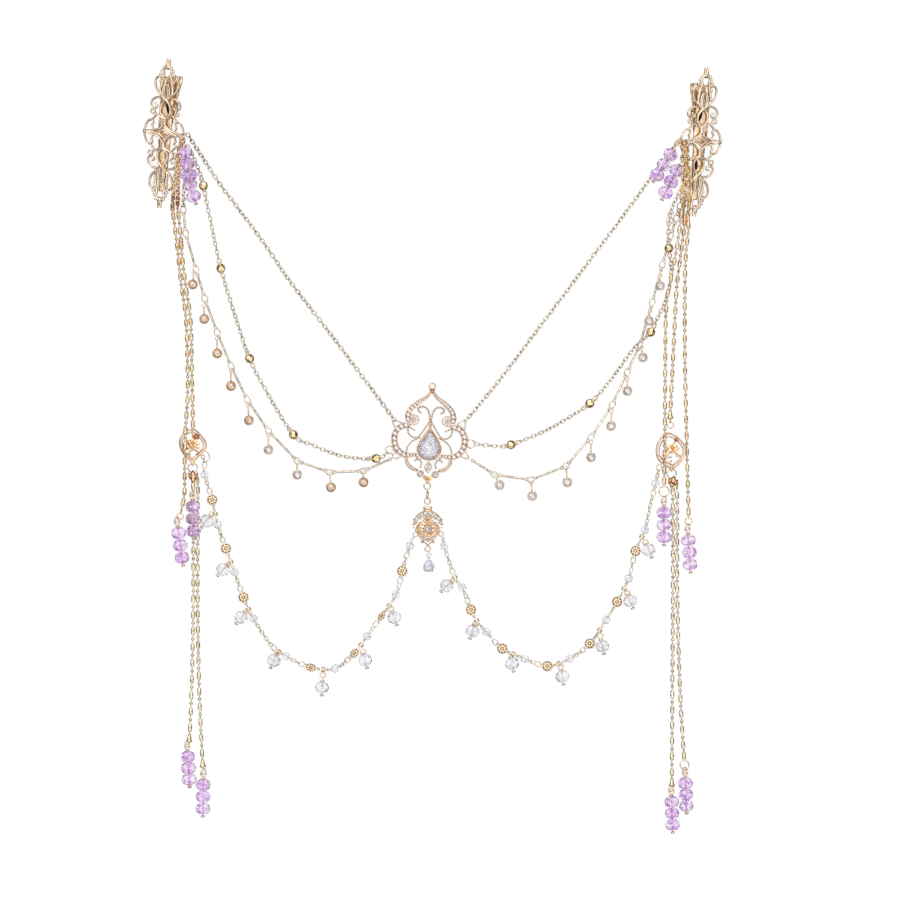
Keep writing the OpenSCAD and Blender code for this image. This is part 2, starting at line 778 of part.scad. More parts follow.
module left_violet_front() { violet_strand([-98.5, 117.2, 12.3], 12, 17, 4.6); }
module left_violet_back() { violet_strand([-98.4, 109, 3.1], 18, 0, 4.8); }
module right_violet_front() { violet_strand([95.1, 116.2, 10], -33, 9, 4.7); }
module right_violet_back() { violet_strand([97.6, 109.9, 4.2], -27, 4, 4.9); }
module left_violet_tassel() { violet_strand([-101.4, -34.8, 3.2], 8, 0, 4.95); }
module left_violet_medallion() { violet_strand([-95.7, -24.2, 5.8], 2); }
module right_violet_tassel_a() { violet_strand([92.6, -26.7, 3.2], 0); }
module right_violet_tassel_c() { violet_strand([102.4, -37.7, 3.2], 4); }
module left_violet_fall_a() { violet_strand([-97.7, -124.2, 3.2], 4, -20, 4.75); }
module left_violet_fall_b() { violet_strand([-91.5, -135.4, 3.2], -1, 0, 4.75); }
module right_violet_fall_a() { violet_strand([95.7, -142.2, 3.2], 2, 0, 4.6); }
module right_violet_fall_b() { violet_strand([101.2, -134.8, 3.2], 2, -19, 4.7); }

left_plate();
left_clip();
left_jaw();
left_spring();
right_plate();
right_clip();
right_jaw();
right_spring();
ornament();
pear_stone();
pendant();
pear_drop();
left_top_chain();
right_top_chain();
left_ball_chain();
right_ball_chain();
left_bar_chain();
right_bar_chain();
left_bar_drops();
right_bar_drops();
left_garland();
right_garland();
left_garland_drops();
right_garland_drops();
left_medallion();
right_medallion();
left_tassel_a();
left_tassel_b();
right_tassel_a();
right_tassel_b();
right_tassel_c();
left_fall_a();
left_fall_b();
right_fall_a();
right_fall_b();
left_violet_front();
left_violet_back();
right_violet_front();
right_violet_back();
left_violet_tassel();
left_violet_medallion();
right_violet_tassel_a();
right_violet_tassel_c();
left_violet_fall_a();
left_violet_fall_b();
right_violet_fall_a();
right_violet_fall_b();
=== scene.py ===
"""Face chain that lies on a pale table: filigree hair clips, beaded chains and a pear-stone ornament."""

import math
import random

import bpy
import numpy as np
from mathutils import Matrix, Vector


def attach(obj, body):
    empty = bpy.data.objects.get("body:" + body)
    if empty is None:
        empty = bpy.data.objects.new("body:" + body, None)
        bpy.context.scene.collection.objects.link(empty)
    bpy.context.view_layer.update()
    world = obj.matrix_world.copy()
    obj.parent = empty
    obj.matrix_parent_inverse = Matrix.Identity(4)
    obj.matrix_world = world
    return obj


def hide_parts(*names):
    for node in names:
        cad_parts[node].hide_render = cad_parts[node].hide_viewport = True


bl_info = {
    "name": "Face Chain",
    "version": (1, 0, 0),
    "blender": (4, 5, 0),
    "location": "View3D > Sidebar > Face Chain",
    "description": "Builds a face chain with filigree hair clips, beaded chains and a pear-stone ornament",
    "category": "Object",
}

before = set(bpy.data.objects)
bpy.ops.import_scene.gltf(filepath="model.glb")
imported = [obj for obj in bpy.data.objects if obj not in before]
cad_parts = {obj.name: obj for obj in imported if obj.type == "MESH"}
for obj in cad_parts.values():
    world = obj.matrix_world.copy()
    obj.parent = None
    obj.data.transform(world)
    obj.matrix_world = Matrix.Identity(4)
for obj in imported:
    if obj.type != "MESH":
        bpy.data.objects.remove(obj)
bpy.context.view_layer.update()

MM = 0.001
TABLE_GAP = 0.00003
BODY = "frame"
SIDES = ("left", "right")
ROSE, GOLD, VIOLET, CLEAR = "rose_metal", "gold_metal", "violet_glass", "clear_glass"

# Centre lines of the chains, in millimetres: x, y, z.
TOP_ROUTES = {
    "left": [
        (-98, 125, 9.7), (-94.5, 119.5, 6), (-90, 112.5, 2.4), (-84, 103.5, 1), (-69, 83.5, 1),
        (-57, 66, 1), (-42, 46.5, 1), (-27, 26.5, 1), (-14.6, 9.8, 1),
    ],
    "right": [
        (98.2, 121.7, 8.4), (95.6, 118, 5.6), (92.6, 114, 3.2), (87.5, 107.5, 1.4), (80, 97, 1),
        (67, 79.5, 1), (47, 53, 1), (27, 26.5, 1), (12.9, 9.6, 1),
    ],
}
BALL_ROUTES = {
    "left": [
        (-97.8, 120.4, 7.2), (-95.2, 115, 4.4), (-93.2, 110, 2.2), (-91.5, 104, 2), (-89.5, 94, 1),
        (-84.5, 71, 2), (-78, 49.5, 1), (-73, 35, 2), (-67, 23, 1), (-55.5, 4.5, 2),
        (-48, 0.5, 1), (-36, -4, 1), (-22.5, -5, 2), (-17.2, -1.8, 1.5),
    ],
    "right": [
        (15.8, 1, 1), (25, 0, 1), (31.5, 0.5, 2), (46, 6.5, 1), (55.5, 12, 1), (63, 17, 2),
        (71, 26, 1), (79, 37, 2.2), (83, 41.5, 2.9), (87.3, 45.5, 2.7), (89.8, 50.5, 1.8),
        (91.9, 55, 1), (94.8, 63, 0.8), (95.6, 70, 1), (94.6, 79, 3.9), (94.4, 86, 3.9),
        (95.5, 94, 4), (98, 100, 4.4), (100.4, 104.5, 5),
    ],
}
# Places of the gold balls on the ball chains.
BALLS = {
    "left": [(-91.5, 104), (-84.5, 71), (-73, 35), (-55.5, 4.5), (-22.5, -5)],
    "right": [(31.5, 0.5), (63, 17), (87.3, 45.5), (94.6, 79)],
}
BAR_ROUTES = {
    "left": [
        (-99.6, 95, 2), (-98.6, 85, 0.9), (-94.5, 70.5, 0.9), (-91, 59, 0.9), (-86, 45.5, 0.9),
        (-80.5, 32, 0.9), (-74, 18.5, 0.9), (-65.5, 6, 0.9), (-54, -6, 0.9), (-41, -10.5, 0.9),
        (-27.5, -10, 0.9), (-14.7, -4.3, 0.9),
    ],
    "right": [
        (14.2, -4.6, 0.9), (25, -11.5, 0.9), (39.5, -13.5, 0.9), (53.5, -8, 0.9), (63.5, 3.5, 0.9),
        (72, 16.5, 0.9), (78, 29.5, 0.9), (83, 40.5, 0.9), (88, 57.5, 0.9), (92, 72.5, 0.9),
        (95.3, 84, 0.9), (97.6, 91, 0.9), (99.2, 96.5, 2.4),
    ],
}
GARLAND_ROUTES = {
    "left": [
        (-91.8, -3.4, 2.5), (-91, -8, 1.75), (-91, -11.5, 1.75), (-88, -21.5, 1.75),
        (-85.8, -31.5, 1.75), (-82.5, -41, 1.75), (-79, -50.5, 1.75), (-75.5, -60.5, 1.75),
        (-71.5, -69, 1.75), (-64.5, -79.5, 1.75), (-58.5, -84, 1.75), (-48.5, -88.5, 1.75),
        (-39, -89, 1.75), (-31.2, -82.9, 1.75), (-26, -76, 1.75), (-20.3, -68, 1.75),
        (-14.5, -59.5, 1.75), (-12, -50, 1.75), (-9, -40, 1.75), (-7.6, -36.2, 1.75),
    ],
    "right": [
        (4.4, -36, 1.75), (4.8, -40, 1.75), (9, -52.5, 1.75), (12, -56.5, 1.75), (15.5, -65.5, 1.75),
        (18, -70.2, 1.75), (21.7, -74.4, 1.75), (28, -81, 1.75), (37, -85, 1.75), (46, -88, 1.75),
        (55, -85, 1.75), (63, -79, 1.75), (69.5, -69.5, 1.75), (73.9, -62.3, 1.75),
        (78.5, -53, 1.75), (81.3, -42, 1.75), (85, -33.5, 1.75), (86.5, -26.5, 1.75),
        (89.3, -15, 1.75), (91, -7.2, 1.75),
    ],
}
# What sits on each knot of a garland: s is a clear bead, d a gold disc.
GARLAND_BEADS = {"left": "--sdsdsds-sdsdsdsds-", "right": "-s-sd-sdsdsdsdsds-s-"}
# Discs that the photo shows nearly on edge, and how far they are turned on the chain.
TURNED_DISCS = {(-48.5, -88.5): -38, (-31.2, -82.9): -56, (-20.3, -68): -50}
# Places of the gold loops on the garlands.
GOLD_LOOPS = {
    "left": [
        (-87.2, -27), (-81.3, -46.8), (-73.8, -65.2), (-61, -81.6), (-43.7, -89.6), (-28.4, -79.8),
        (-17.1, -63.7),
    ],
    "right": [
        (9, -52.4), (17.7, -70), (32, -83.2), (50.8, -87.4), (67, -74), (76.8, -57.3), (84.3, -36.6),
    ],
}
# Upper ends of the chains, which run over the plates and end caps.
TOP_ENDS = {
    "left_tassel_a": [(-99.6, 121.5, 11.6), (-101.4, 117, 10.1), (-102.6, 108, 8), (-103.3, 101, 6.4)],
    "left_tassel_b": [(-100.6, 119, 10.8), (-101.2, 112, 9.3), (-101.4, 104, 7.9), (-101.6, 99, 5)],
    "right_tassel_a": [(100.6, 121, 11.4), (100.9, 114, 9.7), (100.3, 107, 8.3), (99.9, 101, 7)],
    "right_tassel_b": [(101.2, 119, 10.8), (101.7, 112, 9), (101.3, 104, 7.3), (100.9, 99, 5.6)],
    "right_tassel_c": [(102.5, 112, 9.2), (102.8, 104, 6.7), (102.7, 97, 4.4)],
    "right_ball_chain": [(99.6, 109, 8.2), (99.9, 115, 9.8), (100.2, 120, 11.4)],
    "left_bar_chain": [(-99.3, 98.5, 6), (-99.2, 102, 8.7), (-99, 106, 9.4)],
    "left_fall_b": [(-95.1, -12.9, 1.6)],
    "right_fall_b": [(96.7, -15.2, 1.7)],
}

TASSEL_ROUTES = {
    "left_tassel_a": [
        (-103.8, 95, 1.8), (-103, 88, 0.8), (-101.8, 78, 0.8), (-100.4, 64.5, 0.8),
        (-98.4, 49.5, 0.8), (-97.8, 24, 0.8), (-98.3, 12, 1.4), (-98.7, 6, 2.4), (-98.8, 0, 2.4),
        (-99, -7, 2.4), (-99, -14, 0.9), (-99.2, -20, 0.8), (-100.2, -25, 1), (-101, -28.8, 1.9),
    ],
    "left_tassel_b": [
        (-101.8, 95, 2), (-101, 88, 0.8), (-100, 76, 0.8), (-98.6, 64, 0.8), (-96.6, 49.5, 0.8),
        (-96, 24, 0.8), (-95.7, 7.6, 0.8),
    ],
    "right_tassel_a": [
        (99.9, 96, 4.4), (99.2, 90, 3), (97.9, 80, 2.6), (96.2, 71, 2.9), (94.3, 62, 2.6),
        (93.5, 54, 2.2), (93.3, 47, 0.8), (93, 8.5, 0.8), (92.8, -9.5, 0.8), (92.7, -20.8, 1.9),
    ],
    "right_tassel_b": [
        (100.6, 94.6, 2.3), (100.8, 88, 1.2), (98.8, 72, 0.8), (97.6, 61, 0.8), (96, 29, 0.8),
        (95.2, 13, 1), (95.3, 5.4, 2.2),
    ],
    "right_tassel_c": [
        (102.3, 91.4, 0.9), (102.4, 86, 0.8), (101.2, 72, 0.8), (101, 38.5, 0.8), (101.6, 9, 0.8),
        (102.2, -16, 0.8), (102.5, -26, 0.8), (102.4, -31.8, 1.9),
    ],
    "left_fall_a": [
        (-95.6, -12.8, 1.6), (-95.6, -18, 0.8), (-95.6, -67, 0.8), (-96.4, -102, 0.8),
        (-97.2, -118.4, 1.9),
    ],
    "left_fall_b": [
        (-93.8, -14.6, 0.9), (-93.8, -30, 0.8), (-93.8, -67, 0.8), (-93, -103, 0.8),
        (-91.6, -129.6, 1.9),
    ],
    "right_fall_a": [
        (96, -14.9, 1.8), (96.2, -20, 0.8), (96.2, -67, 0.8), (96, -98, 0.8), (95.8, -136.4, 1.9),
    ],
    "right_fall_b": [
        (97.8, -16.6, 0.9), (98, -31, 0.8), (98, -60, 0.8), (99.2, -100, 0.8), (101, -129, 1.9),
    ],
}

# End of each tassel: how far its end cap stands from the route's end, then the place and radius of its hoop.
TASSEL_ENDS = {
    "left_tassel_a": (6.6, 0.7, 1.3), "left_tassel_b": (1.2, 0, 0), "right_tassel_a": (6.8, 2.7, 2.05),
    "right_tassel_b": (7.0, 3.0, 1.25), "right_tassel_c": (5.8, 1.8, 1.4), "left_fall_a": (1.4, 0, 0),
    "left_fall_b": (2.5, 0, 0), "right_fall_a": (1.6, 0, 0), "right_fall_b": (5.1, 1.5, 1.75),
}
# Tassels that end in a cone. The others end in a crimp.
CONE_ENDS = ("right_tassel_b", "left_fall_a", "left_fall_b", "right_fall_a")
# Fittings at the tops of the tassels: kind, x, y, size.
TASSEL_FITTINGS = {
    "left_tassel_a": [
        ("knot", -99.4, 121.3, 1.35), ("ring", -103.0, 104.5, 1.35), ("crimp", -103.4, 99.5, 1.2),
        ("crimp", -103.7, 95.5, 1.25), ("crimp", -103.4, 91.8, 1.15),
    ],
    "left_tassel_b": [
        ("knot", -100.8, 118.0, 1.2), ("ring", -101.3, 110, 1.2), ("crimp", -101.6, 97.5, 1.25),
        ("crimp", -101.4, 92.5, 1.1), ("crimp", -100.2, 81.5, 1.35),
    ],
    "right_tassel_a": [
        ("knot", 100.6, 120.7, 1.4), ("stack", 100.9, 115.8, 1.15), ("ring", 100.0, 102.4, 1.35),
        ("ring", 99.9, 99.2, 1.25), ("crimp", 99.6, 92.5, 1.15),
    ],
    "right_tassel_b": [
        ("knot", 101.3, 118.4, 1.2), ("stack", 101.6, 111.5, 1.2), ("ring", 101.3, 104.5, 1.2),
        ("crimp", 100.7, 90.1, 1.3),
    ],
    "right_tassel_c": [
        ("ring", 102.6, 110.5, 1.2), ("crimp", 102.7, 97.5, 1.15), ("crimp", 102.4, 91, 1.1),
    ],
}

# Loops of wire that join the chains to the ornament.
CONNECTORS = {
    "left_top_chain": [(-15.9, 10.2), (-15.2, 10.4), (-12.6, 9.4), (-12.6, 8.8), (-14.4, 7.4), (-15, 7.6)],
    "right_top_chain": [(13.3, 10.2), (12.6, 10.3), (10.3, 8.9), (10.4, 8.2), (12.6, 6.9), (13.1, 7.2)],
    "left_ball_chain": [
        (-18.6, -1.6), (-17.8, -0.1), (-16.2, -0.3), (-15.6, -1.6), (-16.4, -2.9), (-18, -2.8),
    ],
    "right_ball_chain": [
        (13.9, 0.8), (14.3, 2.2), (15.6, 2.5), (16.8, 1.6), (16.8, 0.1), (15.6, -0.8), (14.4, -0.5),
    ],
    "left_bar_chain": [(-15.6, -4.9), (-13.4, -4.7), (-12.6, -3.6), (-14.4, -2.6), (-15.8, -3.4)],
    "right_bar_chain": [(13.0, -1.9), (13.5, -2.6), (14.6, -4.9), (13.9, -5.1), (11.4, -4.2), (11.3, -3.7)],
}

# Round stone drops: x, y, lean, reach from the stone to its loop, height of the back, and face up.
STONE_DROPS = {
    "left": [
        (-95.8, 64.6, -6, 4.8, 0.3, False), (-91.2, 50.8, 0, 5.3, 0.3, False),
        (-86, 37, 0, 6, 0.3, False), (-80.5, 24, 0, 6, 0.3, False), (-73.3, 10.2, 3, 6.1, 0.3, False),
        (-65.5, -1.5, 0, 6, 0.3, True), (-54, -11.5, 0, 5, 0.3, True),
        (-40.5, -16.5, 4, 5.4, 0.3, False), (-27.5, -14.5, 0, 4.2, 0.3, False),
    ],
    "right": [
        (26.9, -15.6, 24, 3.8, 0.3, True), (40, -20, 4, 5.6, 0.3, True), (54, -14.5, 4, 5.6, 0.3, True),
        (63.5, -4.5, 0, 6, 0.3, True), (71.5, 8, -3, 6, 0.3, True), (78, 22, 0, 5, 0.3, True),
        (84.2, 35.4, 8, 3.9, 0.3, True), (86.6, 50, -6, 4, 2, True), (91, 64, 0, 4, 2, True),
    ],
}
# Rondelle drops of the garland: x, y, lean, reach from the bead to the chain.
RONDELLE_DROPS = {
    "left": [
        (-90.2, -30, -38, 4.2), (-83.7, -49.5, -45, 3.4), (-76.4, -68.6, -40, 3.6),
        (-63.3, -85.8, -25, 4.2), (-44, -96.5, -3, 5.8), (-26.8, -85.6, 14, 4.2),
        (-15.2, -68.6, 20, 4.4),
    ],
    "right": [
        (5.8, -56, -46, 3.5), (16.1, -74, -20, 3.4), (32, -87, 10, 3.6), (52, -92.2, 10, 4.8),
        (68, -80, 12, 4.9), (79.1, -61.9, 20, 3.9), (86.5, -41.6, 22, 4.1),
    ],
}
# Violet strands: place of the first bead, lean, dip, pitch, stem.
VIOLET_STRANDS = {
    "left_violet_front": ((-98.5, 117.2, 12.3), 12, 17, 4.85, 4.6),
    "left_violet_back": ((-98.4, 109, 3.1), 18, 0, 4.85, 4.8),
    "right_violet_front": ((95.1, 116.2, 10), -33, 9, 4.85, 4.7),
    "right_violet_back": ((97.6, 109.9, 4.2), -27, 4, 4.85, 4.9),
    "left_violet_tassel": ((-101.4, -34.8, 3.2), 8, 0, 4.95, 3.4),
    "left_violet_medallion": ((-95.7, -24.2, 5.8), 2, 0, 4.85, 3.4),
    "right_violet_tassel_a": ((92.6, -26.7, 3.2), 0, 0, 4.85, 3.4),
    "right_violet_tassel_c": ((102.4, -37.7, 3.2), 4, 0, 4.85, 3.4),
    "left_violet_fall_a": ((-97.7, -124.2, 3.2), 4, -20, 4.75, 3.4),
    "left_violet_fall_b": ((-91.5, -135.4, 3.2), -1, 0, 4.75, 3.4),
    "right_violet_fall_a": ((95.7, -142.2, 3.2), 2, 0, 4.6, 3.4),
    "right_violet_fall_b": ((101.2, -134.8, 3.2), 2, -19, 4.7, 3.4),
}

# Hair clips: place, roll and lean of each, and the pitch that both have.
CLIP_AT = {"left": (-107, 124.9, 6.6), "right": (107, 121.5, 6.6)}
CLIP_ROLL = {"left": -25, "right": 25}
CLIP_LEAN = {"left": -8.2, "right": -0.4}
CLIP_PITCH = 10
HINGE_Y, HINGE_Z, LEVER_ANGLE, JAW_TIP_Y = 10, -3.1, 27, -23.5
# Painted shade in the gaps of the upper lever, drawn as dark leaves: x, y, spin, width, length, material.
CLIP_PAINTED_SHADE = {
    "left": [(0.8, 11.4, 9.3, 1.9, 9.4, 1), (1.3, -8.6, 4, 1.5, 5.2, 2), (-0.6, 14.5, 2, 0.5, 6.0, 2)],
    "right": [(-0.95, 10.6, -11, 1.8, 6.2, 1), (-0.9, -9.4, 3, 1.5, 5.0, 1), (0.8, 14.5, -2, 0.5, 6.0, 2)],
}

ORNAMENT_AT, ORNAMENT_LEAN, ORNAMENT_Z = (-1.2, 0, 0), -3, 0.4
PENDANT_AT = (-1.8, -25.2, 0)
PEAR_DROP_AT = (-1.4, -48.4, 0)
PEAR_R, PEAR_Y = 4.4, -1.3
MEDALLION_AT = {"left": (-96, 0.3, 0.3), "right": (95.5, -2, 1.8)}

# Wires of the plate, a quarter of its pattern: knots of x, y and width, then height and thickness.
PLATE_STROKES = [
    # Bar to the side knob and the scroll beside it.
    ([(4.8, 0.1, 0.5), (6.6, 0.12, 0.6), (8.4, 0.15, 0.75)], 0.5, 0.8),
    ([
        (8.9, 0.4, 0.7), (8.3, 2.6, 0.65), (7.2, 4.4, 0.65), (5.8, 4.8, 0.6), (4.8, 4, 0.55), (5.4, 3, 0.6),
    ], 0.5, 0.9),
    ([(4.6, 0.8, 0.55), (5.2, 2, 0.55), (5.6, 2.8, 0.55)], 0.45, 0.8),
    ([(5.7, 4.8, 0.65), (4.6, 6.2, 0.65), (3.6, 7.2, 0.65), (2.2, 6.6, 0.65), (0.2, 5.6, 0.65)], 0.5, 0.9),
    ([(3.6, 7, 0.6), (4.4, 7.7, 0.6), (4.9, 9.4, 0.6)], 0.5, 0.9),
    # Quilted lozenge in the middle: its edge, its straps and the raised inner lozenge.
    ([(8.2, 0.25, 0.5), (5.0, 0.8, 0.5), (2.6, 1.6, 0.5), (1.0, 2.8, 0.5), (0.1, 3.9, 0.55)], 0.7, 0.7),
    ([(5.8, 0.6, 0.4), (3.4, -0.5, 0.4), (1.4, -1.9, 0.4), (0.7, -2.9, 0.4)], 0.75, 0.6),
    ([(2.4, 0.0, 0.45), (1.2, 0.6, 0.45), (0.0, 1.6, 0.45)], 0.95, 0.6),
    # Second scroll.
    ([(2.4, 14.2, 0.6), (4.4, 14, 0.65), (6, 12.8, 0.65), (6.6, 11.2, 0.65), (5.8, 10, 0.6), (4.2, 9.9, 0.55),
      (3.6, 10.9, 0.55), (4.6, 11.5, 0.55)], 0.5, 0.9),
    # Almond opening.
    ([(0, 13.6, 1.2), (1.4, 12, 0.8), (2.2, 10, 0.7), (2, 7.8, 0.7), (0.3, 6.2, 0.7)], 0.55, 1.0),
    ([(0.1, 3.8, 0.9), (0.2, 4.8, 0.9), (0.1, 6.4, 0.9)], 0.6, 1.0),
    # Sides of the palm leaf.
    ([(0, 13.2, 1.1), (1.6, 14.4, 0.75), (2.6, 16.4, 0.7), (2.7, 18.6, 0.7), (2.2, 21, 0.7)], 0.5, 0.95),
    # Lyre.
    ([(2.4, 15.2, 0.65), (4.4, 17.2, 0.7), (5.2, 19.8, 0.7), (4.8, 21.8, 0.65), (3.6, 22.4, 0.6),
      (2.6, 21.4, 0.6),
      (3.1, 20.4, 0.6)], 0.5, 0.9),
    ([(2.5, 18, 0.7), (2, 21.2, 0.75), (1.5, 23.6, 0.8), (1.9, 25.4, 0.8), (0.4, 27, 1.0)], 0.55, 0.95),
    ([(2, 22.8, 0.6), (3.1, 23.6, 0.6)], 0.5, 0.8),
    ([(1.7, 24.6, 0.6), (2.7, 25, 0.6)], 0.5, 0.8),
    # Finial.
    ([(0, 26.4, 1.4), (0.3, 27.6, 1.2), (0.55, 28.8, 0.7), (0.6, 30, 0.4)], 0.5, 0.9),
]
# Ribs of the palm leaf: x at the foot, x in the middle, x at the top.
PALM_RIBS = [(0.0, 0.0, 0.0), (0.35, 0.75, 0.35), (0.7, 1.45, 0.8)]
# Grains on the plate: x, y, radius.
PLATE_GRAINS = [
    (8.55, 0.0, 0.75), (3.1, 23.6, 0.62), (2.7, 25, 0.56), (1.9, 26.5, 0.5), (5.4, 3.0, 0.5),
    (4.7, 11.5, 0.48),
    (3.1, 20.5, 0.46),
]

# Paved bands of the ornament: x, y, width. Then its scroll wires.
OGEE = [
    (0.3, 21.9, 0.9), (2.2, 19.4, 1.2), (5.4, 17.1, 1.6), (8.2, 14.3, 1.9), (9.1, 11.9, 2.0), (9.0, 9.9, 1.9),
]
SIDE_LOBE = [
    (9.4, 8.0, 1.9), (12.3, 6.8, 2.0), (13.9, 4.2, 2.0), (14.0, 1.2, 2.0), (12.8, -1.9, 2.0),
    (10.3, -3.8, 1.9),
    (8.4, -4.1, 1.5), (5.2, -3.7, 1.1),
]
LOWER_LOBE = [(9.0, -4.9, 1.0), (8.4, -7.3, 1.25), (6.6, -9.1, 1.3), (4.3, -9.9, 0.95)]
SCROLLS = [
    [(0.25, 7.9), (0.3, 10.9), (0.6, 12.6), (1.4, 14.6), (3.0, 15.6), (4.8, 15.2), (5.2, 14.0), (4.2, 13.2)],
    [(0.3, 9.8), (1.4, 8.1), (2.5, 6.3), (4.2, 3.8)],
    [(8.9, 7.0), (8.6, 4.8), (6.9, 3.2), (4.9, 3.1)],
    [(8.9, 7.0), (7.7, 6.8), (6.3, 6.1)],
    [(5.2, 2.6), (7.3, 1.2), (8.7, -1.0), (9.1, -3.1)],
    [(5.4, -6.0), (3.5, -5.6), (2.8, -7.5), (3.1, -8.6)],
]
LOBE_AT = (6.9, 10.2)
PEAR_STRETCH = (1.1, 1.0)

# Wires of the pendant, its stones (x, y, radius) and its leaves (x, y, spin, width, length).
PENDANT_WIRES = [
    [(2.1, -1.7), (1.0, -3.1), (-0.4, -4.7)],
    [(1.6, -1.0), (3.2, -1.7), (4.6, -3.0), (5.4, -4.6)],
    [(3.6, -10.2), (2.8, -11.7), (1.5, -13.2), (0.1, -14.3)],
    [(2.3, -10.9), (1.5, -12.0), (0.2, -12.8)],
    [(3.2, -5.4), (4.1, -6.8), (4.7, -8.3)],
]
PENDANT_STONES = [
    (0, -2.4, 0.85), (-3.2, -3.1, 0.78), (3.2, -3.1, 0.88), (-4.9, -5.3, 0.55), (5.0, -5.3, 0.55),
    (0, -12.0, 0.45),
]
PENDANT_LEAVES = [
    (1.15, -3.7, -35, 1.3, 2.4), (5.3, -4.4, -55, 0.8, 1.9), (5.5, -6.1, -100, 0.8, 1.8),
    (4.1, -6.9, 32, 0.7, 3.2),
    (2.1, -13.0, 30, 0.9, 1.9), (1.3, -5.2, -60, 0.9, 1.8),
]

# Outlines of the medallions, their inner wires (x, y, width) and blossoms (x, y, radius).
MEDALLION_HOOPS = {
    "left": [
        (0.4, 6.5), (-1.7, 6.0), (-3.6, 4.6), (-4.7, 2.6), (-4.9, 0.4), (-4.1, -2.3), (-2.2, -4.5),
        (0.2, -6.3),
        (2.6, -4.2), (5.0, -1.6), (5.5, 0.2), (5.0, 1.8), (4.0, 3.2), (2.2, 5.2),
    ],
    "right": [
        (-0.1, 6.8), (-1.6, 7.0), (-3.4, 6.2), (-5.0, 3.4), (-5.8, 0.9), (-5.4, -2.6), (-3.2, -5.2),
        (0.3, -6.7),
        (2.6, -5.4), (4.4, -3.3), (5.6, -1.2), (5.8, 0.9), (4.6, 3.2), (2.2, 5.6),
    ],
}
MEDALLION_STROKES = {
    "left": [
        [(0, 6.3, 0.7), (0.2, 3.4, 0.6), (0.3, 0.6, 0.6), (0.2, -1.7, 0.8)],
        [(0.2, 0.6, 0.6), (1.0, 2.2, 0.6), (1.7, 3.5, 0.6)],
        [(0.1, -1.8, 0.6), (-0.9, -2.4, 0.55), (-1.3, -3.2, 0.5), (-0.6, -3.8, 0.5)],
        [(0.3, -1.8, 0.6), (1.7, -2.2, 0.55), (2.3, -3.0, 0.5), (1.5, -3.7, 0.5)],
        [(-4.3, -1.5, 0.7), (-2.9, -3.4, 0.85), (-0.9, -5.2, 0.8), (0.2, -6.2, 0.7)],
        [(4.9, -1.5, 0.7), (3.3, -3.3, 0.85), (1.5, -5.0, 0.8), (0.2, -6.2, 0.7)],
    ],
    "right": [
        [(-3.0, 3.9, 0.6), (-1.9, 1.8, 0.6), (-1.9, -0.5, 0.6), (-3.3, -3.4, 0.7)],
        [(0.5, 1.1, 0.6), (1.2, 3.0, 0.6), (2.1, 4.9, 0.6)],
        [
            (0.1, -2.5, 0.55), (-1.1, -2.5, 0.55), (-2.3, -3.4, 0.5), (-1.8, -4.8, 0.5), (-0.5, -4.9, 0.5),
            (0.1, -3.8, 0.5),
        ],
        [(2.1, -2.0, 0.55), (3.2, -1.9, 0.55), (4.3, -2.5, 0.5)],
        [(-5.0, -1.6, 0.5), (-3.0, -3.7, 0.6), (-0.9, -4.9, 0.6), (0.3, -5.9, 0.6)],
        [(4.3, -2.6, 0.5), (2.6, -4.2, 0.6), (0.3, -5.9, 0.6)],
    ],
}
BLOSSOMS = {"left": [(0.2, 0.6, 2.0), (1.7, 3.5, 1.3)], "right": [(0.5, 1.1, 2.1), (2.1, 4.6, 1.0)]}


def length(name, description, default):
    return bpy.props.FloatProperty(name=name, description=description, default=default, unit="LENGTH")


def tint(name, description, default):
    return bpy.props.FloatVectorProperty(name=name, description=description, default=default, subtype="COLOR")


class ChainSizes(bpy.types.PropertyGroup):
    """Wire and bead sizes of the chains."""

    cable_wire: length("Cable wire", "Wire of the plain cable chain", 0.00042)
    cable_length: length("Cable link length", "Outside length of a cable link", 0.0027)
    cable_width: length("Cable link width", "Outside width of a cable link", 0.0019)
    ball: length("Gold ball", "Diameter of a cut gold ball", 0.0038)
    tassel_pitch: length("Tassel pitch", "Length of one tube and bead of a tassel", 0.0063)
    violet: length("Violet bead", "Diameter of a violet bead", 0.0061)
    drop: length("Clear drop", "Diameter of a clear garland drop", 0.0058)
    seed: length("Clear bead", "Diameter of a small clear garland bead", 0.0034)
    disc: length("Gold disc", "Diameter of a granulated disc", 0.0042)


class FinishColours(bpy.types.PropertyGroup):
    """Colours of the metals, beads and stones."""

    rose: tint("Rose plating", "Colour of the clips and the ornament", (0.76, 0.61, 0.46))
    rose_deep: tint("Deep rose", "Colour in the hollows of the rose plating", (0.52, 0.32, 0.19))
    gold: tint("Gold plating", "Colour of the chains and gold beads", (0.88, 0.73, 0.52))
    gold_deep: tint("Deep gold", "Colour in the hollows of the gold plating", (0.52, 0.36, 0.21))
    violet: tint("Violet glass", "Colour of the violet beads", (0.92, 0.71, 0.99))
    clear: tint("Clear glass", "Colour of the clear beads", (0.97, 0.97, 1.0))
    stone: tint("Paved stones", "Colour of the small set stones", (0.79, 0.72, 0.72))
    table: tint("Table", "Colour of the table", (0.95, 0.95, 0.95))


class StageSettings(bpy.types.PropertyGroup):
    """Camera and lights."""

    camera_height: length("Camera height", "Height of the camera above the table", 4.0)
    camera_x: length("Camera x", "Middle of the picture, across", 0.0071)
    camera_y: length("Camera y", "Middle of the picture, up the face", -0.0016)
    picture_width: length("Picture width", "Width of table that the picture shows", 0.36)
    softbox_power: bpy.props.FloatProperty(
        name="Softbox power", description="Power of the large softbox", default=4.2, unit="POWER"
    )


def sizes():
    return bpy.context.scene.face_chain_sizes


def colours():
    return bpy.context.scene.face_chain_colours


def stage_settings():
    return bpy.context.scene.face_chain_stage


# Shapes

def unit(v):
    v = np.asarray(v, float)
    return v / np.maximum(np.linalg.norm(v, axis=-1, keepdims=True), 1e-12)


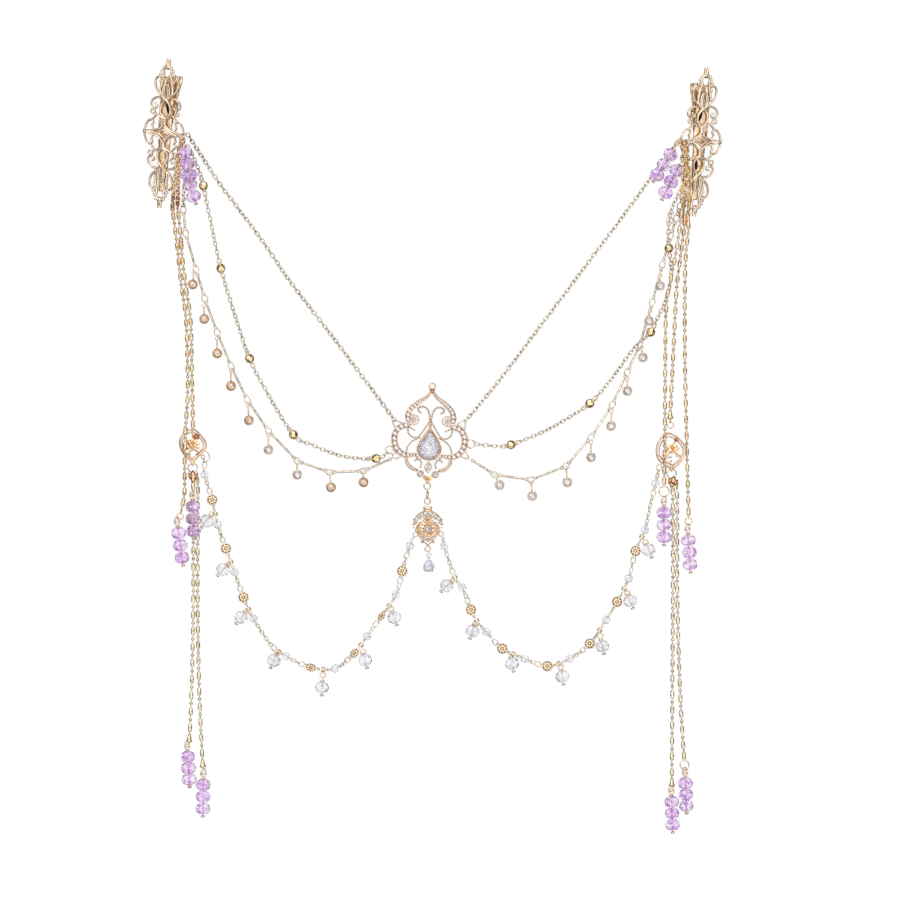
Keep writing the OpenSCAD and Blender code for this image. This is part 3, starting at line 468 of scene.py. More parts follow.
def smooth(knots, steps):
    """Curve through the knots, whatever columns they have."""
    p = np.array(knots, float)
    q = np.vstack([p[:1], p, p[-1:]])
    t = (np.arange(steps) / steps)[:, None]
    runs = [
        0.5 * (2 * b + (c - a) * t + (2 * a - 5 * b + 4 * c - d) * t**2 + (3 * b - a - 3 * c + d) * t**3)
        for a, b, c, d in zip(q[:-3], q[1:-2], q[2:-1], q[3:])
    ]
    return np.vstack([*runs, p[-1:]])


def closed_curve(knots):
    """Smooth curve through the knots and back to the first."""
    return smooth(np.vstack([knots[-2:], knots, knots[:2]]), 4)[8:-5]


def level(outline, z):
    """A flat outline's points, raised to z."""
    edge = np.asarray(outline, float)
    return np.column_stack([edge, np.full(len(edge), z)])


def lengths_along(points):
    """Each point's distance from the first, measured along the points."""
    step = np.linalg.norm(np.diff(points, axis=0), axis=1)
    return np.concatenate([[0], np.cumsum(step)])


def point_on(s, along, points):
    """The point at distance s along the points."""
    return np.array([np.interp(s, along, column) for column in points.T])


def placed(at=(0, 0, 0), spin=0.0, tilt=0.0, roll=0.0, scale=1.0):
    """Place in metres, then spin about Z, tilt about X and roll about Y, in degrees."""
    turn = (
        Matrix.Translation(Vector(at))
        @ Matrix.Rotation(math.radians(spin), 4, "Z")
        @ Matrix.Rotation(math.radians(tilt), 4, "X")
        @ Matrix.Rotation(math.radians(roll), 4, "Y")
        @ Matrix.Scale(scale, 4)
    )
    return np.array(turn, float)


def spot(x, y, z, spin=0.0, tilt=0.0, roll=0.0):
    """Place in millimetres, turned as in placed."""
    return placed((x * MM, y * MM, z * MM), spin, tilt, roll)


def stand(at, heading, roll=0.0):
    """Frame at a point whose Y runs along the heading, rolled about it."""
    t = unit(heading)
    side = unit(np.cross(t, [0, 0, 1.0])) if abs(t[2]) < 0.999 else np.array([1.0, 0, 0])
    top = np.cross(side, t)
    a = math.radians(roll)
    m = np.eye(4)
    m[:3, 0] = math.cos(a) * side - math.sin(a) * top
    m[:3, 1] = t
    m[:3, 2] = math.sin(a) * side + math.cos(a) * top
    m[:3, 3] = at
    return m


class Route:
    """A chain's centre line, measured along its length in metres."""

    def __init__(self, knots, steps=14):
        self.points = smooth(knots, steps) * MM
        self.along = lengths_along(self.points)
        self.length = self.along[-1]

    def at(self, s):
        return point_on(s, self.along, self.points)

    def nearest(self, x, y):
        gaps = np.linalg.norm(self.points[:, :2] - np.array([x, y]) * MM, axis=1)
        return self.along[int(gaps.argmin())]

    def stand(self, s, roll=0.0, reach=0.0004):
        """Frame whose Y runs along the chain, rolled about it."""
        heading = self.at(min(s + reach, self.length)) - self.at(max(s - reach, 0))
        return stand(self.at(s), heading, roll)


class Form:
    """A small shape that is made once and copied: points, quads and triangles."""

    def __init__(self, points, faces, flat=False):
        self.points = np.asarray(points, float).reshape(-1, 3)
        fan = []
        for f in faces:
            if len(f) > 4:
                fan += [(f[0], f[i], f[i + 1]) for i in range(1, len(f) - 1)]
            else:
                fan.append(tuple(f))
        self.quads = np.array([f for f in fan if len(f) == 4], int).reshape(-1, 4)
        self.tris = np.array([f for f in fan if len(f) == 3], int).reshape(-1, 3)
        self.flat = flat

    def remade(self, points, quads, tris):
        other = Form(points, [], self.flat)
        other.quads, other.tris = quads, tris
        return other

    def moved(self, place):
        return self.remade(self.points @ place[:3, :3].T + place[:3, 3], self.quads, self.tris)

    def mirrored(self, x=True, y=False):
        """Mirror image, with its faces turned the right way out."""
        order = -1 if x != y else 1
        points = self.points * np.array([-1 if x else 1, -1 if y else 1, 1])
        return self.remade(points, self.quads[:, ::order], self.tris[:, ::order])

    def with_forms(self, *others):
        """One form that holds this one and the others."""
        joined = self
        for other in others:
            n = len(joined.points)
            joined = joined.remade(
                np.vstack([joined.points, other.points]),
                np.vstack([joined.quads, other.quads + n]),
                np.vstack([joined.tris, other.tris + n]),
            )
        return joined

    def outward(self):
        """The same closed form, with its faces turned outwards."""
        p = self.points - self.points.mean(0)
        total = 0.0
        for a, b, c in (self.tris.T, self.quads.T[[0, 1, 2]], self.quads.T[[0, 2, 3]]):
            total += float(np.einsum("ij,ij", p[a], np.cross(p[b], p[c])))
        if total < 0:
            self.quads, self.tris = self.quads[:, ::-1], self.tris[:, ::-1]
        return self


class Casting:
    """Collects copies of forms and turns them into one mesh piece."""

    def __init__(self):
        self.points, self.faces, self.flats, self.slots = [], [], [], []
        self.count = 0

    def add(self, form, place, slot=0, mirror=False):
        """Adds a copy of the form, kept above the table, and its mirror image where asked."""
        points = form.points @ place[:3, :3].T + place[:3, 3]
        points[:, 2] += max(0.0, TABLE_GAP - points[:, 2].min())
        for faces in (form.quads, form.tris):
            self.faces.extend((faces + self.count).tolist())
            self.flats.extend([form.flat] * len(faces))
            self.slots.extend([slot] * len(faces))
        self.points.append(points)
        self.count += len(points)
        if mirror:
            self.add(form.mirrored(), place, slot)

    def add_four(self, form, place, slot=0):
        """Adds the form in all four quarters of the pattern."""
        for x, y in ((False, False), (True, False), (False, True), (True, True)):
            self.add(form.mirrored(x, y), place, slot)

    def finish(self, name, materials, slot, node, body=BODY):
        """Makes the mesh, lets it ride on its body and hides the part of the model that it stands for."""
        mesh = bpy.data.meshes.new(name)
        mesh.from_pydata(np.vstack(self.points).tolist(), [], self.faces)
        mesh.polygons.foreach_set("use_smooth", [not f for f in self.flats])
        mesh.polygons.foreach_set("material_index", self.slots)
        for material in materials:
            mesh.materials.append(material)
        mesh.update()
        piece = bpy.data.objects.new(name, mesh)
        bpy.context.scene.collection.objects.link(piece)
        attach(piece, body)
        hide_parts(node)


def rows_to_form(rows, closed_rows=False):
    """Joins rows of points, each a ring, into a skin. Open ends are closed with fans."""
    n, m = len(rows), len(rows[0])
    faces = []
    for i in range(n if closed_rows else n - 1):
        a, b = i * m, ((i + 1) % n) * m
        for j in range(m):
            k = (j + 1) % m
            faces.append((a + j, a + k, b + k, b + j))
    if not closed_rows:
        faces.append(tuple(range(m - 1, -1, -1)))
        faces.append(tuple((n - 1) * m + j for j in range(m)))
    return Form(np.vstack(rows), faces).outward()


def tube(points, radius, sides=8, closed=False, flatten=1.0, up=(0, 0, 1)):
    """Wire along points in metres. The radius may change, and flatten is its height over its width."""
    p = np.asarray(points, float)
    r = np.broadcast_to(np.asarray(radius, float), (len(p),)).copy()
    if closed:
        t = unit(np.roll(p, -1, 0) - np.roll(p, 1, 0))
    else:
        # Open ends are rounded off by one smaller ring.
        t = unit(np.gradient(p, axis=0))
        p = np.vstack([p[0] - t[0] * r[0] * 0.6, p, p[-1] + t[-1] * r[-1] * 0.6])
        t = np.vstack([t[0], t, t[-1]])
        r = np.concatenate([[r[0] * 0.55], r, [r[-1] * 0.55]])
    side = np.cross(t, np.broadcast_to(np.asarray(up, float), p.shape))
    weak = np.linalg.norm(side, axis=1) < 0.05
    side[weak] = np.cross(t[weak], [1.0, 0.02, 0])
    side = unit(side)
    top = np.cross(side, t)
    a = 2 * np.pi * (np.arange(sides) + 0.5) / sides
    rings = (
        p[:, None]
        + (r[:, None] * np.cos(a))[..., None] * side[:, None]
        + flatten * (r[:, None] * np.sin(a))[..., None] * top[:, None]
    )
    return rows_to_form(list(rings), closed)


def wire(points, radius, sides=8, **how):
    """Wire along points, with all sizes in millimetres."""
    return tube(np.array(points, float) * MM, radius * MM, sides, **how)


def oval(length, width, thick, around=14, sides=6):
    """Link with straight sides, long along Y, lying in the XY plane. Outside sizes."""
    a, b = (width - thick) / 2, (length - thick) / 2
    t = 2 * np.pi * (np.arange(around) + 0.5) / around
    path = np.stack([a * np.cos(t), a * np.sin(t) + np.sign(np.sin(t)) * (b - a), 0 * t], 1)
    return tube(path, thick / 2, sides, closed=True)


def ring(radius, thick, around=18, sides=7):
    """Round ring in the XY plane, its radius to the middle of the wire."""
    return oval(2 * radius + thick, 2 * radius + thick, thick, around, sides)


def turned(profile, around=12):
    """Turned about Y. The profile is (radius, y) from one end to the other."""
    a = 2 * np.pi * np.arange(around) / around
    return rows_to_form([np.stack([r * np.sin(a), np.full(around, y), r * np.cos(a)], 1) for r, y in profile])


def turned_z(profile, around=12):
    """Turned about Z. The profile is (radius, z) from below upwards."""
    a = 2 * np.pi * np.arange(around) / around
    return rows_to_form([np.stack([r * np.cos(a), r * np.sin(a), np.full(around, z)], 1) for r, z in profile])


def two_ended(half):
    """Whole profile of (radius, y) from its lower half."""
    return [*half, *((r, -y) for r, y in reversed(half) if y)]


def ball(radius, around=8, rows=5):
    t = np.linspace(-math.pi / 2, math.pi / 2, rows + 2)
    return turned_z([(max(radius * math.cos(v), radius * 0.02), radius * math.sin(v)) for v in t], around)


def join_cuts(points, shifts, closed=False, ends=(True, True)):
    """Flat cuts between rows of points. Rows with unlike half-step shifts meet in triangles."""
    around, n = len(points[0]), len(points)
    faces = []
    for i in range(n if closed else n - 1):
        k = (i + 1) % n
        a, b = i * around, k * around
        for j in range(around):
            m = (j + 1) % around
            if shifts[i] == shifts[k]:
                faces.append((a + j, a + m, b + m, b + j))
            elif shifts[i] < shifts[k]:
                faces += [(a + j, a + m, b + j), (a + m, b + m, b + j)]
            else:
                faces += [(a + j, b + m, b + j), (a + j, a + m, b + m)]
    if ends[0] and not closed:
        faces.append(tuple(range(around - 1, -1, -1)))
    if ends[1] and not closed:
        faces.append(tuple((n - 1) * around + j for j in range(around)))
    return Form(np.vstack(points), faces, True)


def cut_rows(rows, around, closed=False):
    """Turned glass or metal with flat cuts, from rows of (radius, y, half-step shift)."""
    step = 2 * np.pi / around
    points = []
    for r, y, shift in rows:
        a = step * (np.arange(around) + 0.5 * shift)
        points.append(np.stack([r * np.sin(a), np.full(around, y), r * np.cos(a)], 1))
    return join_cuts(points, [shift for _, _, shift in rows], closed).outward()


def rondelle(radius, height, hole, around=10):
    """Cut glass bead with a hole along Y, with two rows of cuts on each side."""
    h = height / 2
    upper = [(radius * 0.42, h, 0), (radius * 0.84, h * 0.66, 1), (radius, h * 0.12, 0)]
    lower = [(r, -y, shift) for r, y, shift in reversed(upper)]
    return cut_rows([*upper, *lower, (hole, -h * 0.94, 0), (hole, h * 0.94, 0)], around, closed=True)


def cut_ball(radius, around=8):
    """Gold ball with flat cuts all over."""
    rows = []
    for k, lat in enumerate((-72, -44, -15, 15, 44, 72)):
        rows.append((radius * math.cos(math.radians(lat)), radius * math.sin(math.radians(lat)), k % 2))
    return cut_rows(rows, around)


def brilliant(outline, crown, girdle, pavilion):
    """Small cut stone in millimetres: its top and its foil back. The outline has an even count."""
    edge = np.asarray(outline, float)
    n = len(edge)
    middle = edge.mean(0)

    def row(scale, z, pick=slice(None)):
        return level(middle + (edge[pick] - middle) * scale, z) * MM

    table = row(0.54, crown, slice(0, None, 2))
    star = row(0.80, crown * 0.58, slice(1, None, 2))
    rim = row(1.0, 0)
    foot = row(1.0, -girdle)
    h = n // 2
    g0, l0 = 2 * h, 2 * h + n
    faces = [tuple(range(h))]
    for i in range(h):
        k = (i + 1) % h
        a, b, c = g0 + 2 * i, g0 + 2 * i + 1, g0 + (2 * i + 2) % n
        faces += [(i, h + i, k), (i, a, h + i), (a, b, h + i), (b, c, h + i), (c, k, h + i)]
        faces += [(a, a + n, b + n, b), (b, b + n, l0 + (2 * i + 2) % n, c)]
    top = Form(np.vstack([table, star, rim, foot]), faces, True)
    main = row(0.50, -girdle - pavilion * 0.55, slice(0, None, 2))
    culet = level([middle], -girdle - pavilion) * MM
    faces = []
    for i in range(h):
        k = (i + 1) % h
        p, q, r = 2 * i, 2 * i + 1, (2 * i + 2) % n
        faces += [(p, n + i, q), (q, n + i, n + k), (q, n + k, r), (n + i, n + h, n + k)]
    back = Form(np.vstack([foot, main, culet]), faces, True)
    return top, back


def cut_gem(outline, crown, girdle, pavilion):
    """Larger stone in millimetres with many small cuts: its top and its foil back."""
    edge = np.asarray(outline, float)
    middle = edge.mean(0)
    low = -girdle - pavilion

    def cuts(rows, ends):
        points = [level(middle + (edge[shift::2] - middle) * scale, z) * MM for scale, z, shift in rows]
        return join_cuts(points, [shift for _, _, shift in rows], ends=ends)

    top = cuts(
        [(1, -girdle, 0), (1, 0, 0), (0.84, crown * 0.55, 1), (0.64, crown * 0.8, 0), (0.43, crown * 0.78, 1),
         (0.22, crown, 0)],
        (False, True),
    )
    back = cuts(
        [(0.03, low, 1), (0.34, low * 0.72, 0), (0.62, low * 0.46, 1), (0.86, low * 0.2, 0), (1, -girdle, 1)],
        (True, False),
    )
    return top, back


def add_stone(casting, stone, place, slots=(0, 1), mirror=False):
    """Puts a cut stone in place: its top in the first slot, its back in the second."""
    for slot, form in zip(slots, stone):
        casting.add(form, place, slot, mirror)


def circle_points(radius, count=16, start=0.0):
    """Points round a circle. The start is in steps."""
    a = 2 * np.pi * (np.arange(count) + start) / count
    return np.stack([radius * np.cos(a), radius * np.sin(a)], 1)


def pear_points(radius, count=24):
    """Pear outline around (0, 0), its point at 2 radii up, with slightly full sides."""
    out = []
    for d in np.linspace(-90, 270, count, endpoint=False):
        off = abs(((d - 90) + 180) % 360 - 180)
        reach = radius
        if off < 60:
            reach = radius / math.cos(math.radians(60 - off))
            reach += radius * 0.07 * math.sin(math.radians(off * 3))
        out.append((reach * math.cos(math.radians(d)), reach * math.sin(math.radians(d))))
    return np.array(out)


def blade(outline, low, high, peak, middle=None):
    """Raised leaf in millimetres: flat foot, short wall and a ridge or point in the middle."""
    edge = np.asarray(outline, float)
    n = len(edge)
    centre = edge.mean(0) if middle is None else middle
    points = np.vstack([level(edge, low), level(edge, high), level([centre], peak)]) * MM
    faces = [tuple(range(n - 1, -1, -1))]
    for i in range(n):
        k = (i + 1) % n
        faces.append((i, k, n + k, n + i))
        faces.append((n + i, n + k, 2 * n))
    return Form(points, faces, True).outward()


def leaf_blade(width, length, low, high, peak):
    """Pointed leaf along Y."""
    right = [(0, -0.5), (0.36, -0.28), (0.5, 0), (0.36, 0.28)]
    half = right + [(-x, -y) for x, y in right]
    return blade(np.array(half[::-1]) * (width, length), low, high, peak)


def stroke(knots, z, height, steps=4, sides=8, widen=1.0):
    """Wire of a flat pattern: knots are x, y and width in millimetres, z its middle height."""
    p = smooth(knots, steps)
    radius = np.maximum(p[:, 2] * widen / 2, 0.12) * MM
    form = tube(level(p[:, :2], z) * MM, radius, sides)
    middle = z * MM
    form.points[:, 2] = middle + (form.points[:, 2] - middle) * (height * MM) / (2 * radius.mean())
    return form


def add_balls(casting, spots, place, slot=0, mirror=False, cuts=(10, 6)):
    """Balls of metal, each x, y, z and radius in millimetres."""
    for x, y, z, radius in spots:
        casting.add(ball(radius * MM, *cuts).moved(spot(x, y, z)), place, slot, mirror)


def add_hoop(casting, at, radius, thick, place, cuts=(18, 8), slot=0, **turn):
    """Round ring of wire, with all sizes in millimetres."""
    casting.add(ring(radius * MM, thick * MM, *cuts), place @ spot(*at, **turn), slot)


# Finishes

def add_node(tree, kind, inputs=None, **settings):
    """New shader node, with its properties and the values of its inputs."""
    made = tree.nodes.new(f"ShaderNode{kind}")
    for name, value in settings.items():
        setattr(made, name, value)
    for name, value in (inputs or {}).items():
        made.inputs[name].default_value = value
    return made


def join_nodes(tree, *joins):
    """Links nodes: each join is a node, its output, another node and its input."""
    for source, output, target, entry in joins:
        tree.links.new(source.outputs[output], target.inputs[entry])


def new_group(name, inputs, outputs):
    """Shader node group with named sockets. Returns the group, its input node and its output node."""
    group = bpy.data.node_groups.new(name, "ShaderNodeTree")
    for label, kind, default in inputs:
        socket = group.interface.new_socket(name=label, in_out="INPUT", socket_type=f"NodeSocket{kind}")
        socket.default_value = default
    for label, kind in outputs:
        group.interface.new_socket(name=label, in_out="OUTPUT", socket_type=f"NodeSocket{kind}")
    return group, group.nodes.new("NodeGroupInput"), group.nodes.new("NodeGroupOutput")


def plating_group():
    """Uneven tone and fine polish marks of plated metal."""
    found = bpy.data.node_groups.get("plating_tone")
    if found:
        return found
    group, given, made = new_group(
        "plating_tone",
        [
            ("Bright", "Color", (1, 1, 1, 1)), ("Deep", "Color", (0, 0, 0, 1)),
            ("Patch Scale", "Float", 500.0), ("Patch Amount", "Float", 0.5),
            ("Smooth", "Float", 0.1), ("Rough", "Float", 0.3),
        ],
        [("Colour", "Color"), ("Roughness", "Float"), ("Height", "Float")],
    )
    where = add_node(group, "TexCoord")
    patches = add_node(group, "TexNoise", {"Detail": 3.0})
    marks = add_node(group, "TexNoise", {"Scale": 2600.0, "Detail": 2.0})
    spread = add_node(group, "MapRange", {"From Min": 0.42, "From Max": 0.68})
    share = add_node(group, "Math", operation="MULTIPLY")
    tone = add_node(group, "Mix", data_type="RGBA")
    polish = add_node(group, "MapRange", {"From Min": 0.35, "From Max": 0.75})
    join_nodes(
        group,
        (where, "Object", patches, "Vector"),
        (given, "Patch Scale", patches, "Scale"),
        (where, "Object", marks, "Vector"),
        (patches, "Fac", spread, "Value"),
        (spread, "Result", share, 0),
        (given, "Patch Amount", share, 1),
        (share, "Value", tone, "Factor"),
        (given, "Bright", tone, "A"),
        (given, "Deep", tone, "B"),
        (marks, "Fac", polish, "Value"),
        (given, "Smooth", polish, "To Min"),
        (given, "Rough", polish, "To Max"),
        (tone, "Result", made, "Colour"),
        (polish, "Result", made, "Roughness"),
        (marks, "Fac", made, "Height"),
    )
    return group


def facet_glint_group():
    """Paints each flat cut of a stone with its own tone from the way the cut faces: painted glints on some
    cuts, painted dark reflections on others.
    """
    found = bpy.data.node_groups.get("facet_painted_glints")
    if found:
        return found
    group, given, made = new_group(
        "facet_painted_glints",
        [
            ("Bright", "Color", (1, 1, 1, 1)), ("Pale", "Color", (1, 1, 1, 1)),
            ("Deep", "Color", (0.5, 0.5, 0.5, 1)), ("Spread", "Float", 5.0),
        ],
        [("Colour", "Color")],
    )
    facing = add_node(group, "NewGeometry")
    pattern = add_node(group, "TexNoise", {"Detail": 0.0})
    paler = add_node(group, "MapRange", {"From Min": 0.50, "From Max": 0.62})
    deeper = add_node(group, "MapRange", {"From Min": 0.46, "From Max": 0.34})
    first = add_node(group, "Mix", data_type="RGBA")
    second = add_node(group, "Mix", data_type="RGBA")
    join_nodes(
        group,
        (facing, "True Normal", pattern, "Vector"),
        (given, "Spread", pattern, "Scale"),
        (pattern, "Fac", paler, "Value"),
        (pattern, "Fac", deeper, "Value"),
        (paler, "Result", first, "Factor"),
        (given, "Bright", first, "A"),
        (given, "Pale", first, "B"),
        (deeper, "Result", second, "Factor"),
        (first, "Result", second, "A"),
        (given, "Deep", second, "B"),
        (second, "Result", made, "Colour"),
    )
    return group


def new_material(name):
    """Empty material with its node tree and its shader."""
    material = bpy.data.materials.new(name)
    material.use_nodes = True
    return material, material.node_tree, material.node_tree.nodes["Principled BSDF"]


def mix_colours(a, b, t):
    return tuple(x + (y - x) * t for x, y in zip(a, b))


def plated(name, bright, deep, patch_scale, patch_amount, smooth_end, rough_end, relief=0.3):
    """Polished plating with an uneven tone."""
    found = bpy.data.materials.get(name)
    if found:
        return found
    material, tree, shader = new_material(name)
    tone = add_node(tree, "Group", node_tree=plating_group())
    values = ((*bright, 1), (*deep, 1), patch_scale, patch_amount, smooth_end, rough_end)
    for socket, value in zip(tone.inputs, values):
        socket.default_value = value
    bump = add_node(tree, "Bump", {"Strength": relief, "Distance": 0.00003})
    shader.inputs["Metallic"].default_value = 1.0
    join_nodes(
        tree,
        (tone, "Colour", shader, "Base Color"),
        (tone, "Roughness", shader, "Roughness"),
        (tone, "Height", bump, "Height"),
        (bump, "Normal", shader, "Normal"),
    )
    return material


def cut_glass(name, colour, paler, deeper, ior=1.5, roughness=0.0, clearness=0.0, metal=0.0, spread=9.0):
    """Cut glass or foiled stone whose cuts are painted in differing tones, as painted glints and painted dark
    reflections. A larger spread parts like facings.
    """
    found = bpy.data.materials.get(name)
    if found:
        return found
    material, tree, shader = new_material(name)
    tone = add_node(tree, "Group", node_tree=facet_glint_group())
    for socket, value in zip(tone.inputs, ((*colour, 1), (*paler, 1), (*deeper, 1), spread)):
        socket.default_value = value
    shader.inputs["Roughness"].default_value = roughness
    shader.inputs["IOR"].default_value = ior
    shader.inputs["Metallic"].default_value = metal
    shader.inputs["Transmission Weight"].default_value = clearness
    join_nodes(tree, (tone, "Colour", shader, "Base Color"))
    return material


def rose_metal():
    c = colours()
    return plated("rose_plating", c.rose, c.rose_deep, 620.0, 0.7, 0.08, 0.24)


def rose_bright():
    """Redder solder and small castings."""
    bright = mix_colours(colours().rose, (0.98, 0.52, 0.26), 0.6)
    return plated("rose_solder", bright, (0.50, 0.24, 0.11), 700.0, 0.6, 0.12, 0.3)


def clip_metal():
    """Paler wires of the stamped plates."""
    c = colours()
    bright = mix_colours(c.rose, (1.0, 0.90, 0.75), 0.9)
    return plated("clip_plating", bright, mix_colours(c.rose, c.rose_deep, 0.5), 260.0, 0.7, 0.16, 0.34, 0.6)


def strip_metal():
    """Warmer plating of the clip's own strips, under the paler plate."""
    return plated("strip_plating", (1.0, 0.80, 0.57), (0.60, 0.36, 0.18), 700.0, 0.85, 0.14, 0.32, 0.6)


def painted_shade_metal():
    """Plating darkened as painted shade, for gaps and slots, the strips under wires and the floors under
    raised parts.
    """
    return plated("plating_painted_shade", (0.62, 0.39, 0.22), (0.30, 0.17, 0.08), 900.0, 0.6, 0.3, 0.5)


def painted_gap_shade():
    # Near-black plating that paints the shade in the gaps between the clip's levers.
    return plated("clip_painted_gap_shade", (0.03, 0.016, 0.014), (0.015, 0.008, 0.006), 300.0, 0.6, 0.35, 0.55)


def medallion_metal():
    return plated("medallion_plating", (0.74, 0.52, 0.34), (0.36, 0.19, 0.10), 520.0, 0.8, 0.12, 0.3)


def setting_metal():
    return plated("pale_setting", (0.85, 0.81, 0.86), (0.52, 0.46, 0.56), 900.0, 0.6, 0.08, 0.2)


def gold_metal():
    c = colours()
    return plated("gold_plating", c.gold, c.gold_deep, 620.0, 0.7, 0.10, 0.28)


def chain_metal():
    """Paler gold of the fine links, with darker patches."""
    c = colours()
    bright = mix_colours(c.gold, (0.90, 0.84, 0.74), 0.55)
    deep = mix_colours(c.gold_deep, (0.24, 0.19, 0.15), 0.8)
    return plated("chain_plating", bright, deep, 800.0, 0.85, 0.08, 0.24)


def yellow_gold():
    """Brighter gold of the cut balls, cones and crimps."""
    c = colours()
    bright = mix_colours(c.gold, (1.0, 0.80, 0.40), 0.6)
    return plated("yellow_gold_cut", bright, c.gold_deep, 800.0, 0.4, 0.06, 0.2)


def tassel_gold():
    return plated("tassel_plating", (0.95, 0.85, 0.62), (0.32, 0.23, 0.12), 1000.0, 0.9, 0.08, 0.24)


def warm_tassel_gold():
    return plated("warm_tassel_plating", (0.92, 0.73, 0.46), (0.36, 0.22, 0.10), 1000.0, 0.9, 0.08, 0.24)


def disc_gold():
    return plated("disc_plating", (1.0, 0.86, 0.66), (0.84, 0.62, 0.40), 900.0, 0.4, 0.12, 0.3)


def violet_glass():
    violet = colours().violet
    # glint is a painted highlight and deep a painted dark reflection, which the cuts take at random.
    glint, deep = (1.0, 0.96, 1.0), (0.48, 0.19, 0.66)
    return cut_glass("violet_glass_cut", violet, glint, deep, clearness=0.86)


def clear_glass():
    clear = colours().clear
    # The white and the greyish lilac are a painted glint and a painted dark reflection on the cuts.
    return cut_glass("clear_glass_cut", clear, (1.0, 1.0, 1.0), (0.66, 0.65, 0.76), ior=1.45, clearness=0.8)


def zirconia():
    pale = (0.98, 0.97, 1.0)
    # The white and the blue-grey are a painted glint and a painted dark reflection on the cuts.
    return cut_glass("zirconia_cut", pale, (1.0, 1.0, 1.0), (0.44, 0.46, 0.60), clearness=0.75, spread=37.0)


def stone_foil():
    # glint is a painted highlight and deep a painted dark reflection on the cuts of the foil.
    pale, glint, deep = (0.93, 0.90, 0.97), (1.0, 0.99, 1.0), (0.60, 0.60, 0.74)
    return cut_glass("stone_foil", pale, glint, deep, ior=1.6, roughness=0.10, metal=0.4, spread=37.0)


def paved_stone():
    # glint is a painted highlight and deep a painted dark reflection on the cuts.
    stone, glint, deep = colours().stone, (0.98, 0.94, 0.93), (0.40, 0.33, 0.31)
    return cut_glass("paved_stone", stone, glint, deep, ior=1.6, roughness=0.2, metal=0.45, spread=11.0)


# Chains

# Half lengths of a tassel's tube and of the bead between two tubes, and the pitch of its fine links.
BARREL_HALF, SAUCER_HALF, FINE_PITCH = 0.0012, 0.0003, 0.0006


def run_links(casting, route, start, end, link, pitch, rolls=(22, -68), wobble=7, seed=1, slot=0):
    """Links from start to end along the route, turned one way and the other."""
    draw = random.Random(seed)
    count = max(1, round((end - start) / pitch))
    step = (end - start) / count
    for i in range(count):
        twist = 2.6 * wobble * math.sin(0.55 * i + seed) * math.sin(0.21 * i)
        roll = rolls[i % len(rolls)] + twist + draw.uniform(-wobble, wobble)
        casting.add(link, route.stand(start + (i + 0.5) * step, roll), slot)


def add_connector(casting, name):
    """Wire loop that joins a chain to the ornament."""
    casting.add(wire(closed_curve(level(CONNECTORS[name], 1.1)), 0.27, 7, closed=True), placed())


def build_top_chains():
    s = sizes()
    link = oval(s.cable_length, s.cable_width, s.cable_wire)
    pitch = s.cable_length - 2 * s.cable_wire - 0.00008
    for seed, side in enumerate(SIDES):
        name = f"{side}_top_chain"
        route = Route(TOP_ROUTES[side])
        casting = Casting()
        run_links(casting, route, 0.0004, route.length - 0.0004, link, pitch, seed=11 + seed)
        add_connector(casting, name)
        casting.finish(f"{name}_links", [chain_metal()], GOLD, name)


def build_ball_chains():
    s = sizes()
    length, thick = 0.0025, 0.0004
    link = oval(length, 0.0018, thick)
    pitch = length - 2 * thick - 0.00004
    gold_ball = cut_ball(s.ball / 2)
    collar = turned(two_ended([(0.0002, -0.00035), (0.0006, -0.0003), (0.0007, 0)]), 10)
    end_ring = ring(0.00085, 0.00036, 14, 6)
    for seed, side in enumerate(SIDES):
        name = f"{side}_ball_chain"
        route = Route([*BALL_ROUTES[side], *TOP_ENDS.get(name, [])])
        casting = Casting()
        stops = sorted(route.nearest(x, y) for x, y in BALLS[side])
        reach = s.ball / 2 + 0.0005
        first, last = (0.0003, 0.0012) if side == "left" else (0.0012, 0.0003)
        ends = [first, *(v for stop in stops for v in (stop - reach, stop + reach)), route.length - last]
        for start, end in zip(ends[::2], ends[1::2]):
            run_links(casting, route, start, end, link, pitch, seed=21 + seed)
        for k, stop in enumerate(stops):
            casting.add(gold_ball, route.stand(stop, 17 * k), 1)
            for way in (-1, 1):
                casting.add(collar, route.stand(stop + way * (s.ball / 2)), 1)
                casting.add(end_ring, route.stand(stop + way * (s.ball / 2 + 0.0009), 12 * way))
        if side == "right":
            for x, y, radius in ((95.4, 93.2, 1.15), (95.0, 89.8, 1.35)):
                casting.add(ring(radius * MM, 0.42 * MM), route.stand(route.nearest(x, y), 12))
        add_connector(casting, name)
        casting.finish(f"{name}_links", [chain_metal(), yellow_gold()], GOLD, name)


def bar_form(length, thick, eye, eye_wire):
    """Straight bar with a round eye at each end, along Y, its middle at the origin."""
    half = length / 2 - eye
    swell = ((-1, 0.36), (-0.85, 0.5), (0, 0.54), (0.85, 0.5), (1, 0.36))
    bar = tube([(0, half * share, 0) for share, _ in swell], [thick * width for _, width in swell], 10)
    radius = (eye - eye_wire) / 2
    loop = ring(radius, eye_wire, 14, 7)
    return bar.with_forms(*(loop.moved(placed((0, way * (half + radius), 0))) for way in (-1, 1)))


def build_bar_chains():
    joint = oval(0.0032, 0.0027, 0.00045, 18, 7)
    for seed, side in enumerate(SIDES):
        draw = random.Random(31 + seed)
        name = f"{side}_bar_chain"
        knots = BAR_ROUTES[side]
        route = Route(knots)
        casting = Casting()
        stops = [route.nearest(x, y) for x, y, _ in knots]
        stops[0], stops[-1] = 0.0005, route.length - 0.0005
        for stop in stops[1:] if side == "right" else stops[:-1]:
            casting.add(joint, route.stand(stop, draw.uniform(-24, 24)))
        for a, b in zip(stops, stops[1:]):
            start, end = route.at(a), route.at(b)
            bar = bar_form(np.linalg.norm(end - start) - 0.0016, 0.00082, 0.0017, 0.0005)
            casting.add(bar, stand((start + end) / 2, end - start, draw.uniform(10, 35)))
        if side == "left":
            top = Route([knots[0], *TOP_ENDS[name]])
            run_links(casting, top, 0.001, top.length, oval(0.0024, 0.0018, 0.00036), 0.0017, seed=37)
        add_connector(casting, name)
        casting.finish(f"{name}_links", [chain_metal()], GOLD, name)


